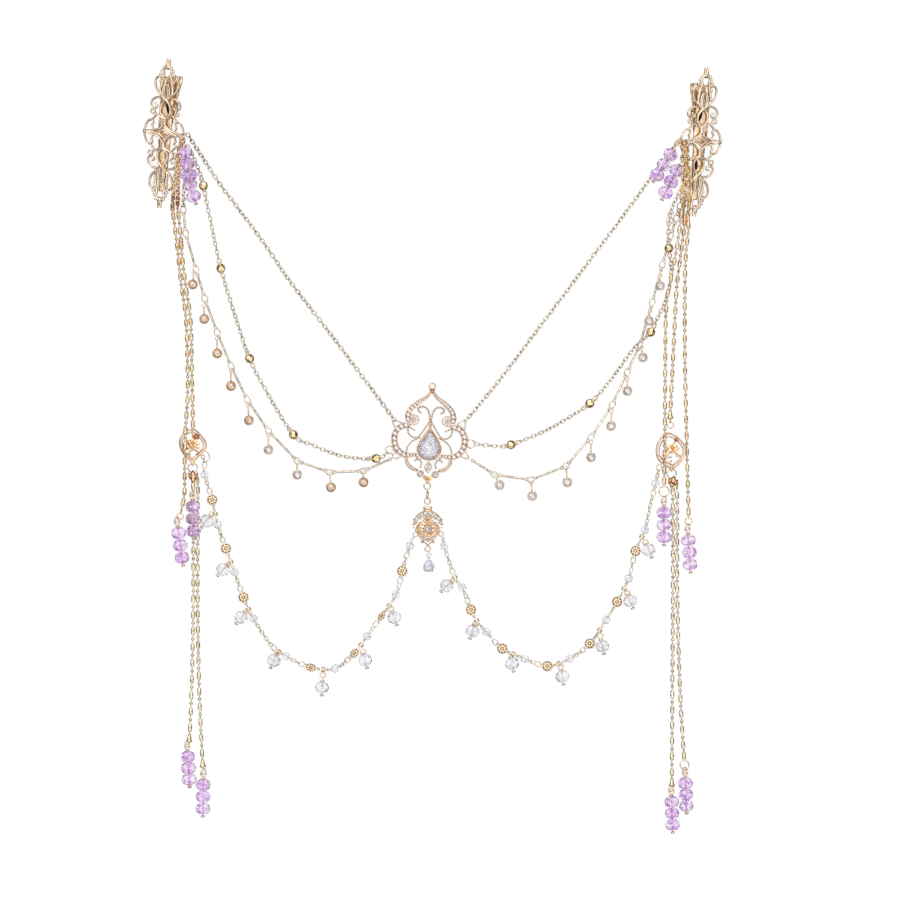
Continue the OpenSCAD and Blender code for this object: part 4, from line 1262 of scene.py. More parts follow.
def tassel_forms():
    """Ribbed tube, saucer bead and end cone of the tassel chains, and the crimp."""
    r = 0.00084
    barrel = [
        (0.0002, -0.0013), (r * 0.96, -0.00128), (r, -0.0011), (r * 0.80, -0.00092), (r * 0.94, -0.00072),
        (r * 0.98, 0.0),
    ]
    saucer = [(0.0002, -0.0004), (0.0005, -0.00034), (0.00076, -0.00008)]
    cone = [
        (0.0003, -0.0018), (0.00062, -0.0017), (0.0007, -0.0008), (0.00095, 0.0004), (0.00125, 0.0009),
        (0.0013, 0.0012), (0.0009, 0.0014), (0.0003, 0.0015),
    ]
    crimp = [(0.0003, -0.0014), (0.0008, -0.0013), (0.00088, -0.001), (0.00072, -0.0006), (0.0008, 0)]
    tube_form, bead_form = turned(two_ended(barrel), 10), turned(two_ended(saucer), 10)
    return tube_form, bead_form, turned(cone), turned(two_ended(crimp))


def calotte():
    """Tulip-shaped end cap: a neck over five flared petals."""
    cup = [
        (0.0003, -0.0026), (0.0008, -0.0024), (0.0007, -0.0017), (0.0013, -0.0006), (0.0017, 0.0005),
        (0.0014, 0.0009), (0.0003, 0.0007),
    ]
    outline = [(-0.6, -1.0), (-0.95, 0.2), (-0.6, 1.2), (0, 1.9), (0.6, 1.2), (0.95, 0.2), (0.6, -1.0)]
    petal = blade(outline, 0, 0.2, 0.55).moved(spot(0, 0.3, 1.38, tilt=16))
    return turned(cup, 15).with_forms(*(petal.moved(placed(roll=72 * k)) for k in range(5)))


def wrapped_loop():
    """Gold knot of wire that carries a drop: three turns round a ball."""
    turns = [
        ring(0.00095 - 0.00012 * abs(k), 0.00042, 14, 6).moved(placed((0, 0.0006 * k, 0), tilt=90))
        for k in (-1, 0, 1)
    ]
    return ball(0.0009, 10, 6).with_forms(*turns)


def build_tassels():
    s = sizes()
    barrel, saucer, cone, crimp = tassel_forms()
    link = oval(0.0011, 0.0009, 0.00028, 10, 5)
    curb = oval(0.0025, 0.0020, 0.0005, 12, 6)
    round_ring = ring(0.001, 0.00042, 16, 7)
    stack = round_ring.moved(placed(tilt=90))
    stack = stack.with_forms(*(round_ring.moved(placed((0, 0.00075 * k, 0), tilt=90)) for k in (1, 2, 3)))
    fittings = {"knot": wrapped_loop(), "crimp": crimp, "ring": round_ring, "stack": stack}
    for number, (name, knots) in enumerate(TASSEL_ROUTES.items()):
        draw = random.Random(41 + number)
        top = TOP_ENDS.get(name, [])
        route = Route([*top, *knots])
        casting = Casting()
        fine = {"link": link, "pitch": FINE_PITCH, "rolls": (0, 90), "wobble": 8, "seed": number}
        foot_gap, hoop_at, hoop_radius = (v * MM for v in TASSEL_ENDS[name])
        foot = route.length - foot_gap
        start, end = 0.0014, foot - BARREL_HALF
        if top:
            start = route.nearest(*knots[0][:2])
            tone = 2 if number % 2 else 1
            run_links(casting, route, 0.0004, start, curb, 0.0014, (24, -62), 12, number + 90, tone)
        count = max(1, round((end - start) / s.tassel_pitch))
        pitch = (end - start) / count
        for i in range(count):
            middle = start + (i + 0.5) * pitch
            casting.add(barrel, route.stand(middle, draw.uniform(0, 90)))
            bead = middle + pitch / 2
            if bead < end - 0.001:
                casting.add(saucer, route.stand(bead, draw.uniform(0, 90)))
            gaps = (
                (middle + BARREL_HALF, bead - SAUCER_HALF),
                (bead + SAUCER_HALF, middle + pitch - BARREL_HALF),
            )
            for a, b in gaps:
                if b < end + 0.001:
                    run_links(casting, route, a, b, **fine)
        run_links(casting, route, start - BARREL_HALF, start + pitch / 2 - BARREL_HALF, **fine)
        run_links(casting, route, end - pitch / 2 + BARREL_HALF, end + 0.0002, **fine)
        casting.add(cone if name in CONE_ENDS else crimp, route.stand(foot), 1)
        gap = foot_gap - hoop_at - hoop_radius - BARREL_HALF
        if gap > 0.001:
            below = foot + BARREL_HALF
            small = oval(0.0015, 0.0011, 0.0003, 12, 6)
            run_links(casting, route, below, below + gap, small, 0.0009, (10, -75), 8, number)
        if hoop_radius:
            casting.add(ring(hoop_radius, 0.0005, 22, 8), route.stand(route.length - hoop_at, 6))
        if name.endswith("fall_a"):
            casting.add(calotte(), route.stand(0.0006), 2)
        for kind, x, y, size in TASSEL_FITTINGS.get(name, []):
            at = route.stand(route.nearest(x, y), draw.uniform(-20, 20))
            casting.add(fittings[kind], at @ placed(scale=0.84 * size), 1 if kind in ("ring", "stack") else 2)
        plain = tassel_gold() if "fall" in name else warm_tassel_gold()
        casting.finish(f"{name}_links", [plain, yellow_gold(), rose_bright()], GOLD, name)


def daisy_disc(radius):
    """Round spacer: raised kites and a boss, ringed with grains, and the floor under them, which is darkened
    as painted shade.
    """
    floor = [
        (radius * 0.3, -0.0005), (radius * 0.9, -0.0004), (radius * 0.95, -0.00005), (radius * 0.1, 0.00005)
    ]
    boss = [(radius * 0.06, 0), (radius * 0.2, 0.0001), (radius * 0.17, 0.0004), (radius * 0.03, 0.0005)]
    kite = np.array([(0.20, 0), (0.44, -0.16), (0.68, -0.25), (0.83, 0), (0.68, 0.25), (0.44, 0.16)])
    petal = blade(kite * radius / MM, 0, 0.26, 0.40)
    petals = [petal.moved(placed(spin=45 * k)) for k in range(8)]
    grain = ball(0.00033, 7, 4)
    grains = [grain.moved(placed((x, y, 0.00004))) for x, y in circle_points(radius * 0.93, 12, 0.5)]
    return turned_z(boss, 10).with_forms(*petals, *grains), turned_z(floor, 18)


def build_garlands():
    s = sizes()
    small = oval(0.0014, 0.0011, 0.00036, 12, 5)
    middling = oval(0.0023, 0.0017, 0.0004, 14, 6)
    large = oval(0.0030, 0.0023, 0.00046, 16, 6)
    petals, floor = daisy_disc(s.disc / 2)
    knot = wrapped_loop()
    reaches = {"s": s.seed / 2 + 0.0010, "d": s.disc / 2 + 0.0004}
    bead = rondelle(s.seed / 2, s.seed * 0.88, 0.0003, 9)
    pin = wire([(0, -2.2, 0), (0, 0, 0), (0, 2.2, 0)], 0.22, 6)
    eye = ring(0.0006, 0.0003, 12, 6)
    for seed, side in enumerate(SIDES):
        draw = random.Random(51 + seed)
        route = Route(GARLAND_ROUTES[side])
        metal, beads = Casting(), Casting()
        stops = [(route.nearest(x, y), "loop", 0.0013, 0) for x, y in GOLD_LOOPS[side]]
        for (x, y, _), kind in zip(GARLAND_ROUTES[side], GARLAND_BEADS[side]):
            if kind in reaches:
                stops.append((route.nearest(x, y), kind, reaches[kind], TURNED_DISCS.get((x, y), 0)))
        stops.sort()
        for at, kind, _, turn in stops:
            if kind == "s":
                beads.add(bead, route.stand(at, draw.uniform(0, 40)))
                metal.add(pin, route.stand(at))
                for way in (-1, 1):
                    metal.add(eye, route.stand(at + way * (s.seed / 2 + 0.0006), draw.uniform(-40, 40)))
            elif kind == "d":
                here = route.stand(at, turn + draw.uniform(-12, 12))
                metal.add(petals, here, 1)
                # The floor takes the plating darkened as painted shade under the kites.
                metal.add(floor, here, 2)
                for way in (-1, 1):
                    metal.add(eye, route.stand(at + way * (s.disc / 2 + 0.0003), draw.uniform(-20, 20)))
            else:
                metal.add(knot, route.stand(at, draw.uniform(0, 90)), 1)
        inner = [v for at, _, reach, _ in stops for v in (at - reach, at + reach)]
        edges = [0.0004, *inner, route.length - 0.0002]
        for start, end in zip(edges[::2], edges[1::2]):
            gap = end - start
            if gap > 0.0033:
                if gap > 0.0042:
                    seed_here = draw.randint(1, 999)
                    run_links(metal, route, start, end - 0.0024, middling, 0.00155, seed=seed_here)
                metal.add(large, route.stand(end - 0.0013, draw.uniform(-18, 18)))
            elif gap >= 0.0006:
                run_links(metal, route, start, end, small, 0.0008, seed=draw.randint(1, 999))
        if side == "left":
            metal.add(oval(0.0046, 0.0034, 0.0004, 20, 7), spot(-90.7, -4.1, 2.0, 25, 8))
        node = f"{side}_garland"
        metal.finish(f"{node}_links", [chain_metal(), disc_gold(), painted_shade_metal()], GOLD, node)
        beads.finish(f"{node}_beads", [clear_glass()], CLEAR, node)


# Drops and strands

def strand_parts(radius, height, count, pitch, stem, around=8):
    """A bead of a strand along -Y from the origin, and the pin with its cap, loop and end ball."""
    foot = -(count - 0.5) * pitch
    pin = tube([(0, stem, 0), (0, stem / 2, 0), (0, foot - 0.0006, 0)], 0.00017, 8)
    end = ((0.0002, -0.0002), (0.0006, -0.0004), (0.00085, -0.0007), (0.0007, -0.0011), (0.0002, -0.0012))
    cap = ((0.0003, 0.00075), (0.0007, 0.0006), (0.0009, 0.0001), (0.0003, 0))
    loop = ring(0.0011, 0.0005, 16, 7).moved(placed((0, stem + 0.0009, 0)))
    metal = pin.with_forms(
        turned([(r, foot + y) for r, y in end]), turned([(r, height / 2 + y) for r, y in cap]), loop
    )
    return rondelle(radius, height, 0.0004, around), metal


def build_violet_strands():
    radius = sizes().violet / 2
    for number, (name, (at, lean, dip, pitch_mm, stem_mm)) in enumerate(VIOLET_STRANDS.items()):
        draw = random.Random(61 + number)
        pitch, stem = pitch_mm * MM, stem_mm * MM
        bead, metal = strand_parts(radius, pitch * 0.95, 3, pitch, stem)
        place = spot(*at, lean, dip)
        beads, pins = Casting(), Casting()
        for i in range(3):
            beads.add(bead, place @ placed((0, -i * pitch, 0), roll=draw.uniform(0, 36)))
        pins.add(metal, place)
        pins.add(ring(0.0012, 0.0004, 16, 6), place @ placed((0, stem + 0.0019, 0.0002), tilt=14, roll=40))
        beads.finish(f"{name}_beads", [violet_glass()], VIOLET, name)
        pins.finish(f"{name}_pin", [gold_metal()], GOLD, name)


def build_rondelle_drops():
    radius = sizes().drop / 2
    for seed, side in enumerate(SIDES):
        draw = random.Random(71 + seed)
        beads, pins = Casting(), Casting()
        for x, y, lean, reach in RONDELLE_DROPS[side]:
            bead, metal = strand_parts(radius, 0.0046, 1, 0.0048, (reach - 1.7) * MM)
            place = placed((x * MM, y * MM, radius + 0.0001), lean)
            beads.add(bead, place @ placed(roll=draw.uniform(0, 36)))
            pins.add(metal, place)
        beads.finish(f"{side}_garland_drop_beads", [clear_glass()], CLEAR, f"{side}_garland_drops")
        pins.finish(f"{side}_garland_drop_pins", [gold_metal()], GOLD, f"{side}_garland_drops")


def build_stone_drops():
    r = 0.002
    wall = [(r * 0.72, 0.0004), (r * 0.97, 0.0011), (r, 0.0015), (r * 0.86, 0.0015), (r * 0.6, 0.0010)]
    cup = turned_z([(0.0002, 0.0), (0.0009, 0.0), *wall], 20)
    stone = brilliant(circle_points(1.72), 0.6, 0.1, 1.0)
    prong = wire([(0, 0, 0), (0, 0, 0.4), (-0.2, 0, 0.6)], 0.22, 6)
    # Closed back of a drop that lies face down: a shallow dish with a wound wire and a boss on it.
    dish = turned_z(
        [(r * 0.2, 0.0003), (r * 0.7, 0.0003), (r * 0.98, 0.0006), (r * 0.98, 0.0010), (r * 0.8, 0.00135),
         (r * 0.1, 0.0015)],
        20,
    )
    angle = np.linspace(0.12 * math.pi, 4.4 * math.pi, 46)
    share = angle / angle[-1]
    out = r * (0.12 + 0.78 * share)
    rise = 0.00155 - 0.00035 * share**3
    coil = tube(np.stack([out * np.cos(angle), out * np.sin(angle), rise], 1), 0.00024, 6)
    for seed, side in enumerate(SIDES):
        draw = random.Random(81 + seed)
        metal, stones = Casting(), Casting()
        for x, y, lean, reach, height, face_up in STONE_DROPS[side]:
            place = spot(x, y, height, lean)
            if face_up:
                metal.add(cup, place)
                add_stone(stones, stone, place @ spot(0, 0, 1.6))
                for k, (px, py) in enumerate(circle_points(r * 0.92, 4, 0.5)):
                    metal.add(prong, place @ placed((px, py, 0.0013), 45 + 90 * k))
            else:
                turn = placed(spin=draw.uniform(0, 360))
                # The dish, and the boss put on below, take the plating darkened as painted shade, dark
                # between the turns of the wire.
                metal.add(dish, place @ turn, 2)
                metal.add(coil, place @ turn, 1)
                add_stone(stones, stone, place @ spot(0, 0, 0.9, roll=180))
                metal.add(ball(0.0004), place @ spot(0, 0, 1.6), 2)
            metal.add(wire([(0, 1.8, 1.0), (0, 2.4, 1.3), (0, reach - 0.6, 1.8)], 0.3, 7), place)
            add_hoop(metal, (0, reach, 2.0), 0.75, 0.36, place, (14, 6), tilt=10, roll=20)
        node = f"{side}_bar_drops"
        metal.finish(f"{side}_bar_drop_cups", [gold_metal(), medallion_metal(), painted_shade_metal()], GOLD, node)
        stones.finish(f"{side}_bar_drop_stones", [zirconia(), stone_foil()], CLEAR, node)


# Hair clips

def clip_place(side):
    """Frame of a hair clip: its middle, with Y along it and Z out of its plate."""
    return spot(*CLIP_AT[side], CLIP_LEAN[side]) @ placed(roll=CLIP_ROLL[side]) @ placed(tilt=CLIP_PITCH)


def build_plates():
    lozenge = [(0, 3.7), (0.9, 2.4), (2.3, 1.4), (4.8, 0.7)]
    right = np.array([*lozenge, *((x, -y) for x, y in lozenge[::-1])])
    floor = blade(np.vstack([right, right[-2:0:-1] * (-1, 1)])[::-1], 0.1, 0.3, 0.7, (0, 0))
    boss = blade([(-1.3, 0), (0, -0.9), (1.3, 0), (0, 0.9)], 0.4, 0.7, 1.2)
    eyelet = ring(0.85 * MM, 0.6 * MM, 14, 8).moved(spot(5.5, 8.3, 0.5))
    for side in SIDES:
        place = clip_place(side)
        casting = Casting()
        for knots, z, height in PLATE_STROKES:
            casting.add_four(stroke(knots, z, height), place, 1)
            # A wider strip under each wire, darkened as painted shade, draws its outline.
            casting.add_four(stroke(knots, z - 0.2, 0.34, 3, 6, 1.66), place, 2)
        casting.add_four(eyelet, place)
        for x, y, radius in PLATE_GRAINS:
            casting.add_four(ball(radius * MM, 10, 6).moved(spot(x, y, 0.5)), place, 1)
        for foot, middle, top in PALM_RIBS:
            knots = [(foot, 13.6, 0.5), (middle, 15.6, 0.7), (middle, 18, 0.65), (top, 19.9, 0.45)]
            casting.add_four(stroke(knots, 0.6, 1.1), place, 1)
        casting.add(floor, place, 1)
        casting.add(boss, place)
        metals = [rose_metal(), clip_metal(), painted_shade_metal()]
        casting.finish(f"{side}_plate_filigree", metals, ROSE, f"{side}_plate")


def bent_strip(outline, z_low, thick, crown, across=6):
    """Sprung strip: rows of (y, half width) swept across with a shallow crown."""
    rows = []
    for y, half in outline[::-1]:
        x = np.linspace(-half, half, across + 1)
        lift = crown * (1 - (x / half) ** 2)
        top = np.stack([x, np.full_like(x, y), z_low + thick + lift], 1)
        low = np.stack([x[::-1], np.full_like(x, y), z_low + lift[::-1] * 0.6], 1)
        rows.append(np.vstack([top, low]) * MM)
    return rows_to_form(rows)


def prong_strip(rows, z_low, thick, crown):
    """Right prong of a lever's slotted end. Rows are (y, inner x, outer x)."""
    form = bent_strip([(y, (b - a) / 2) for y, a, b in rows], z_low, thick, crown, 4)
    middles = [(a + b) / 2 for _, a, b in rows[::-1]]
    form.points[:, 0] += np.repeat(middles, len(form.points) // len(rows)) * MM
    return form


def upright(outline, thick, peak, at):
    """Plate on edge along the clip: its outline is (y, z) from the place given, in millimetres."""
    on_edge = np.array([(0, 0, 1, 0), (1, 0, 0, 0), (0, 1, 0, 0), (0, 0, 0, 1)], float)
    return blade(outline, 0, thick, peak).moved(spot(*at) @ on_edge)


def build_clip_top(side, place):
    """Upper jaw and lever with the hinge ears, the riveted pin, and dark leaves and strips that paint the
    shade in its gaps and slots.
    """
    casting = Casting()
    y, z = HINGE_Y, HINGE_Z
    tip = JAW_TIP_Y
    upper = [(tip, 0.95), (tip + 0.6, 1.1), (-12, 1.9), (y - 8, 2.95), (y + 3.6, 2.95), (y + 6.4, 2.75)]
    casting.add(bent_strip(upper, -0.8, 0.55, 0.12), place)
    prong = [(y + 6.4, 0.65, 2.75), (y + 9, 0.65, 2.6), (y + 12, 0.65, 2.3), (y + 12.6, 0.7, 2.1)]
    casting.add(prong_strip(prong, -0.8, 0.55, 0.1), place, mirror=True)
    casting.add(wire([(-1.7, y + 12.4, -0.45), (0, y + 12.5, -0.42), (1.7, y + 12.4, -0.45)], 0.3), place)
    # Dark leaf under the slot between the prongs: painted shade of the slot.
    casting.add(leaf_blade(1.5, 8.2, 0, 0.12, 0.14), place @ spot(0, y + 9.4, -1.0), 2)
    # Dark leaves that paint the shade in the gaps between the levers.
    for shade_x, shade_y, spin, width, length, tone in CLIP_PAINTED_SHADE[side]:
        casting.add(leaf_blade(width, length, 0, 0.2, 0.22), place @ spot(shade_x, shade_y, -0.22, spin), tone)
    shadow = [(-0.3, 0), (-0.15, 8.5), (0.15, 8.5), (0.3, 0), (0.2, -8.5), (-0.2, -8.5)]
    inner = 2.75 if side == "left" else -2.75
    casting.add(blade(shadow, 0, 0.2, 0.25), place @ spot(inner, 12.6, -1.5), 2)
    ear = [(0, -4.7), (2.4, -4.6), (2.2, -1.2), (1.6, -0.1), (-1.6, -0.1), (-2.2, -1.2), (-2.4, -4.6)]
    dome = [(0.0003, -0.00016), (0.0009, -0.00012), (0.001, 0.0), (0.0007, 0.00022), (0.0002, 0.0003)]
    head = turned(dome, 14)
    for way in (-1, 1):
        rail = [(way * 1.9, y + 3.2, -0.2), (way * 1.75, y + 8, -0.2), (way * 1.5, y + 12, -0.2)]
        casting.add(wire(rail, 0.26), place)
        rim = [(2.85, y - 7, -0.3), (2.85, y + 3.6, -0.3), (2.45, y + 9, -0.3), (2.1, y + 12.3, -0.35)]
        casting.add(wire(np.array(rim) * (way, 1, 1), 0.2, 7), place)
        casting.add(upright(ear, 0.6, 0.66, (way * 2.65 - 0.3, y, -0.1)), place)
        casting.add(head, place @ spot(way * 3.05, y, z, -90 * way))
    casting.add(wire([(-3.1, y, z), (0, y, z), (3.1, y, z)], 0.78, 14), place)
    casting.finish(f"{side}_clip_top", [strip_metal(), painted_gap_shade(), painted_shade_metal()], ROSE, f"{side}_clip")


def build_clip_jaw(side, place):
    """Lower jaw with its teeth and cheeks, and the lever that opens it."""
    casting = Casting()
    y = HINGE_Y
    jaw = [(JAW_TIP_Y - 0.2, 0.85), (JAW_TIP_Y + 0.5, 1.0), (-12, 1.4), (y - 8, 1.95), (y - 3.2, 1.95)]
    casting.add(bent_strip(jaw, -2.5, 0.6, -0.1), place)
    cheek = [(2.4, -1.9), (2.4, 0.4), (2.2, 1.0), (-4, 0.9), (-4, -1.9)]
    for way in (-1, 1):
        casting.add(upright(cheek, 0.6, 0.62, (way * 1.65 - 0.3, y, HINGE_Z)), place)
    lever = place @ spot(0, y + 1.6, HINGE_Z - 1.9, tilt=-LEVER_ANGLE)
    casting.add(bent_strip([(0, 1.9), (4, 1.95), (5.4, 1.95)], 0.05, 0.55, 0.1), lever)
    prong = [(5.4, 0.5, 1.95), (9.4, 0.5, 1.9), (10.9, 0.5, 1.7), (11.5, 0.55, 1.5)]
    casting.add(prong_strip(prong, 0.05, 0.55, 0.08), lever, mirror=True)
    casting.add(wire([(-1.4, 11.3, 0.35), (0, 11.4, 0.38), (1.4, 11.3, 0.35)], 0.28), lever)
    # Dark leaf under the lever's slot: painted shade of the slot.
    casting.add(leaf_blade(1.2, 8.0, 0, 0.1, 0.12), lever @ spot(0, 7.4, -0.12), 1)
    for way in (-1, 1):
        for x in (1.2, 1.85):
            rail = [(way * x, 2, 0.58), (way * x, 7, 0.62), (way * (x - 0.2), 10.8, 0.58)]
            casting.add(wire(rail, 0.19, 7), lever)
    tooth = wire([(-0.9, 0, 0), (0, 0, 0), (0.9, 0, 0)], 0.16, 6)
    for k in range(9):
        casting.add(tooth, place @ spot(0, JAW_TIP_Y + 1.6 + 1.1 * k, -1.85))
    metals = [strip_metal(), painted_shade_metal()]
    casting.finish(f"{side}_clip_jaw", metals, ROSE, f"{side}_jaw", f"{side}_lower_jaw")


def build_clips():
    turns, reach = 4, 1.12
    t = np.arange(turns * 18 + 1) / 18
    angle = 2 * np.pi * t
    path = [-0.8 + 1.6 * t / turns, HINGE_Y + reach * np.cos(angle), HINGE_Z + reach * np.sin(angle)]
    coil = wire(np.stack(path, 1), 0.2, 7, up=(1, 0, 0))
    for side in SIDES:
        place = clip_place(side)
        build_clip_top(side, place)
        build_clip_jaw(side, place)
        spring = Casting()
        spring.add(coil, place)
        spring.finish(f"{side}_spring_coil", [gold_metal()], GOLD, f"{side}_spring")


# Ornament, pendant and medallions

def pave_band(metal, stones, knots, z, place, width_share=1.12):
    """Two rails with a row of small stones between them, held by grains, and its mirror image."""
    p = smooth(knots, 8)
    xy, width = p[:, :2], p[:, 2] * width_share
    t = unit(np.gradient(xy, axis=0))
    side = np.stack([-t[:, 1], t[:, 0]], 1)
    forms = []
    for way in (-1, 1):
        rail = xy + side * way * (width / 2 - 0.16)[:, None]
        forms.append(wire(level(rail, z + 1.2), 0.24, 6))
        forms.append(wire(level(rail, z + 0.55), 0.2, 6, flatten=2.4))
    # Bed under the stones, darkened as painted shade between them.
    metal.add(wire(level(xy, z + 0.4), width / 2 - 0.1, flatten=0.35), place, 1, True)
    along = lengths_along(xy)
    grain = ball(0.2 * MM, 7, 4)
    gems = []
    s = 0.35
    while s < along[-1] - 0.2:
        x, y = point_on(s, along, xy)
        r = max(0.3, (float(np.interp(s, along, width)) - 0.5) / 2)
        gems.append((x, y, r))
        across = point_on(s + r, along, side) * r * 0.74
        for way in (-1, 1):
            gx, gy = point_on(s + r * 1.02, along, xy) + across * way
            forms.append(grain.moved(spot(gx, gy, z + 1.32)))
        s += 2 * r + 0.04
    for form in forms:
        metal.add(form, place, 0, True)
    for x, y, r in gems:
        for form in brilliant(circle_points(r, 12), r * 0.45, 0.02, r * 0.5):
            stones.add(form.moved(spot(x, y, z + 1.12)), place, 1, True)


def milgrain(metal, knots, z, place, grain=0.4):
    """Scroll wire with a row of grains on it, and its mirror image."""
    xy = smooth(knots, 8)
    metal.add(wire(level(xy, z + 0.5), 0.2, 6, flatten=2.0), place, 0, True)
    along = lengths_along(xy)
    count = max(2, int(along[-1] / (grain * 2.05)))
    spots = [(*point_on(s, along, xy), z + 1.1, grain) for s in np.linspace(0, along[-1], count)]
    add_balls(metal, spots, place, 0, True, (8, 5))


def set_stone(metal, stones, at, radius, z, place, mirror=False, wall=0.22, height=0.9):
    """Round stone in a wire collar."""
    here = spot(*at, z + height)
    collar = ring((radius + wall / 2) * MM, wall * 1.5 * MM).moved(here)
    outside = [(radius * 0.6, 0), (radius, 0.1), (radius + wall, height)]
    cup = turned_z([*outside, (radius * 0.94, height), (radius * 0.8, 0.15)], 18)
    cup.points *= MM
    stone = brilliant(circle_points(radius), radius * 0.42, 0.04, radius * 0.55)
    add_stone(stones, [form.moved(here) for form in stone], place, mirror=mirror)
    for form in (collar, cup.moved(spot(*at, z))):
        metal.add(form, place, 0, mirror)


def build_ornament():
    place = spot(*ORNAMENT_AT, ORNAMENT_LEAN)
    z = ORNAMENT_Z
    metal, stones, bright = Casting(), Casting(), Casting()
    for knots, share in ((OGEE, 1.12), (SIDE_LOBE, 1.22), (LOWER_LOBE, 1.12)):
        pave_band(metal, stones, knots, z, place, share)
    for k, knots in enumerate(SCROLLS):
        milgrain(metal, knots, z, place, 0.4 if k else 0.46)
    # Round paved lobe at the foot of each ogee arm.
    set_stone(metal, stones, LOBE_AT, 0.8, z, place, True, 0.2)
    lobe_ring = oval(5.0 * MM, 4.4 * MM, 0.46 * MM, 22, 7)
    metal.add(lobe_ring.moved(spot(*LOBE_AT, z + 0.9, 90)), place, 0, True)
    grains = [(x, y, z + 1.0, 0.34) for x, y in circle_points(1.45, 8) + LOBE_AT]
    add_balls(bright, grains, place, 0, True, (7, 4))
    # Bezel of the pear stone: its rim wire, its lip and the bright wall between them.
    for radius, thick, height in ((PEAR_R - 0.05, 0.5, 1.4), (PEAR_R - 0.45, 0.4, 2.5)):
        edge = pear_points(radius, 36) * PEAR_STRETCH + (0, PEAR_Y)
        metal.add(wire(level(edge, z + height), thick / 2, closed=True, flatten=1.3), place)
    wall = ((0.1, 0.1), (0.05, 1.2), (0.38, 2.5), (0.62, 2.5), (0.62, 0.9))
    edges = [
        (pear_points(PEAR_R - inset, 36) * PEAR_STRETCH + (0, PEAR_Y), z + height) for inset, height in wall
    ]
    bright.add(rows_to_form([level(edge, height) * MM for edge, height in edges]), place)
    # Solder points and apex bosses.
    joints = [(x, y, z + 0.8, 0.62) for x, y in ((8.5, 7.8), (4.4, 3.3), (4.6, -4.9))]
    add_balls(bright, joints, place, 0, True)
    add_balls(bright, [(0, 22.0, z + 0.8, 0.95), (0.75, 22.7, z + 0.8, 0.5)], place, 0, True)
    # Marquise, round stones, leaves at the foot, and the rings above and below.
    marquise = np.array([(0, -6.3), (0.85, -7.3), (1.3, -8.6), (0.85, -9.8), (0, -10.8)])
    outline = np.vstack([marquise, (marquise * [-1, 1])[-2:0:-1]])
    metal.add(wire(level(outline, z + 1.0), 0.26, 7, closed=True, flatten=1.6), place)
    for y, r in ((-7.6, 0.5), (-9.1, 0.68)):
        set_stone(metal, stones, (0, y), r, z, place, False, 0.1, 1.0)
    set_stone(metal, stones, (3.0, -11.3), 1.12, z, place, True, 0.32)
    for way in (-1, 1):
        bright.add(leaf_blade(1.5, 3.6, 0.1, 0.9, 1.3), place @ spot(way, -12.9, z, -34 * way))
    add_balls(bright, [(0, -12.9, z + 1.0, 0.75)], place)
    add_balls(bright, [(0, -14.4, z + 0.9, 0.5)], place, cuts=(9, 5))
    add_hoop(metal, (0, 23.9, z + 0.6), 1.2, 0.62, place)
    add_hoop(metal, (0, -16.1, z + 0.6), 1.3, 0.6, place)
    metal.finish("ornament_frame", [rose_metal(), painted_shade_metal()], ROSE, "ornament")
    bright.finish("ornament_bezel", [rose_bright()], ROSE, "ornament")
    stones.finish("ornament_stones", [zirconia(), paved_stone()], CLEAR, "ornament")

    gem = Casting()
    pear = cut_gem(pear_points(PEAR_R - 0.68, 36) * PEAR_STRETCH, 1.0, 0.08, 1.4)
    add_stone(gem, pear, place @ spot(0, PEAR_Y, z + 2.3))
    gem.finish("pear_stone_cut", [zirconia(), stone_foil()], CLEAR, "pear_stone")


def add_rosette(metal, stones, bright, gold, y, z, place):
    """Rosette: its dish, a thick rim, rings of grains, petals and the set stone."""
    dish = turned_z([(0.5, 0), (3.0, 0.1), (3.5, 0.4), (3.2, 0.7), (2.6, 0.6), (0.6, 0.6)], 24)
    dish.points *= MM
    bright.add(dish, place @ spot(0, y, z))
    add_hoop(gold, (0, y, z + 0.75), 3.3, 0.62, place, (30, 8))
    outer = [(gx, y + gy, z + 0.5, 0.38) for gx, gy in circle_points(3.85, 20, 0.5)]
    inner = [(gx, y + gy, z + 1.0, 0.38) for gx, gy in circle_points(2.35, 10, 0.5)]
    add_balls(metal, outer, place, cuts=(8, 5))
    add_balls(bright, inner, place, cuts=(8, 5))
    outline = [(0, 1.3), (0.5, 1.7), (0.62, 2.3), (0.3, 2.9), (-0.3, 2.9), (-0.62, 2.3), (-0.5, 1.7)]
    petal = blade(outline, 0.6, 1.0, 1.35)
    for k in range(10):
        gold.add(petal, place @ spot(0, y, z, 36 * k))
    set_stone(metal, stones, (0, y), 1.2, z + 0.5, place, False, 0.3, 1.3)


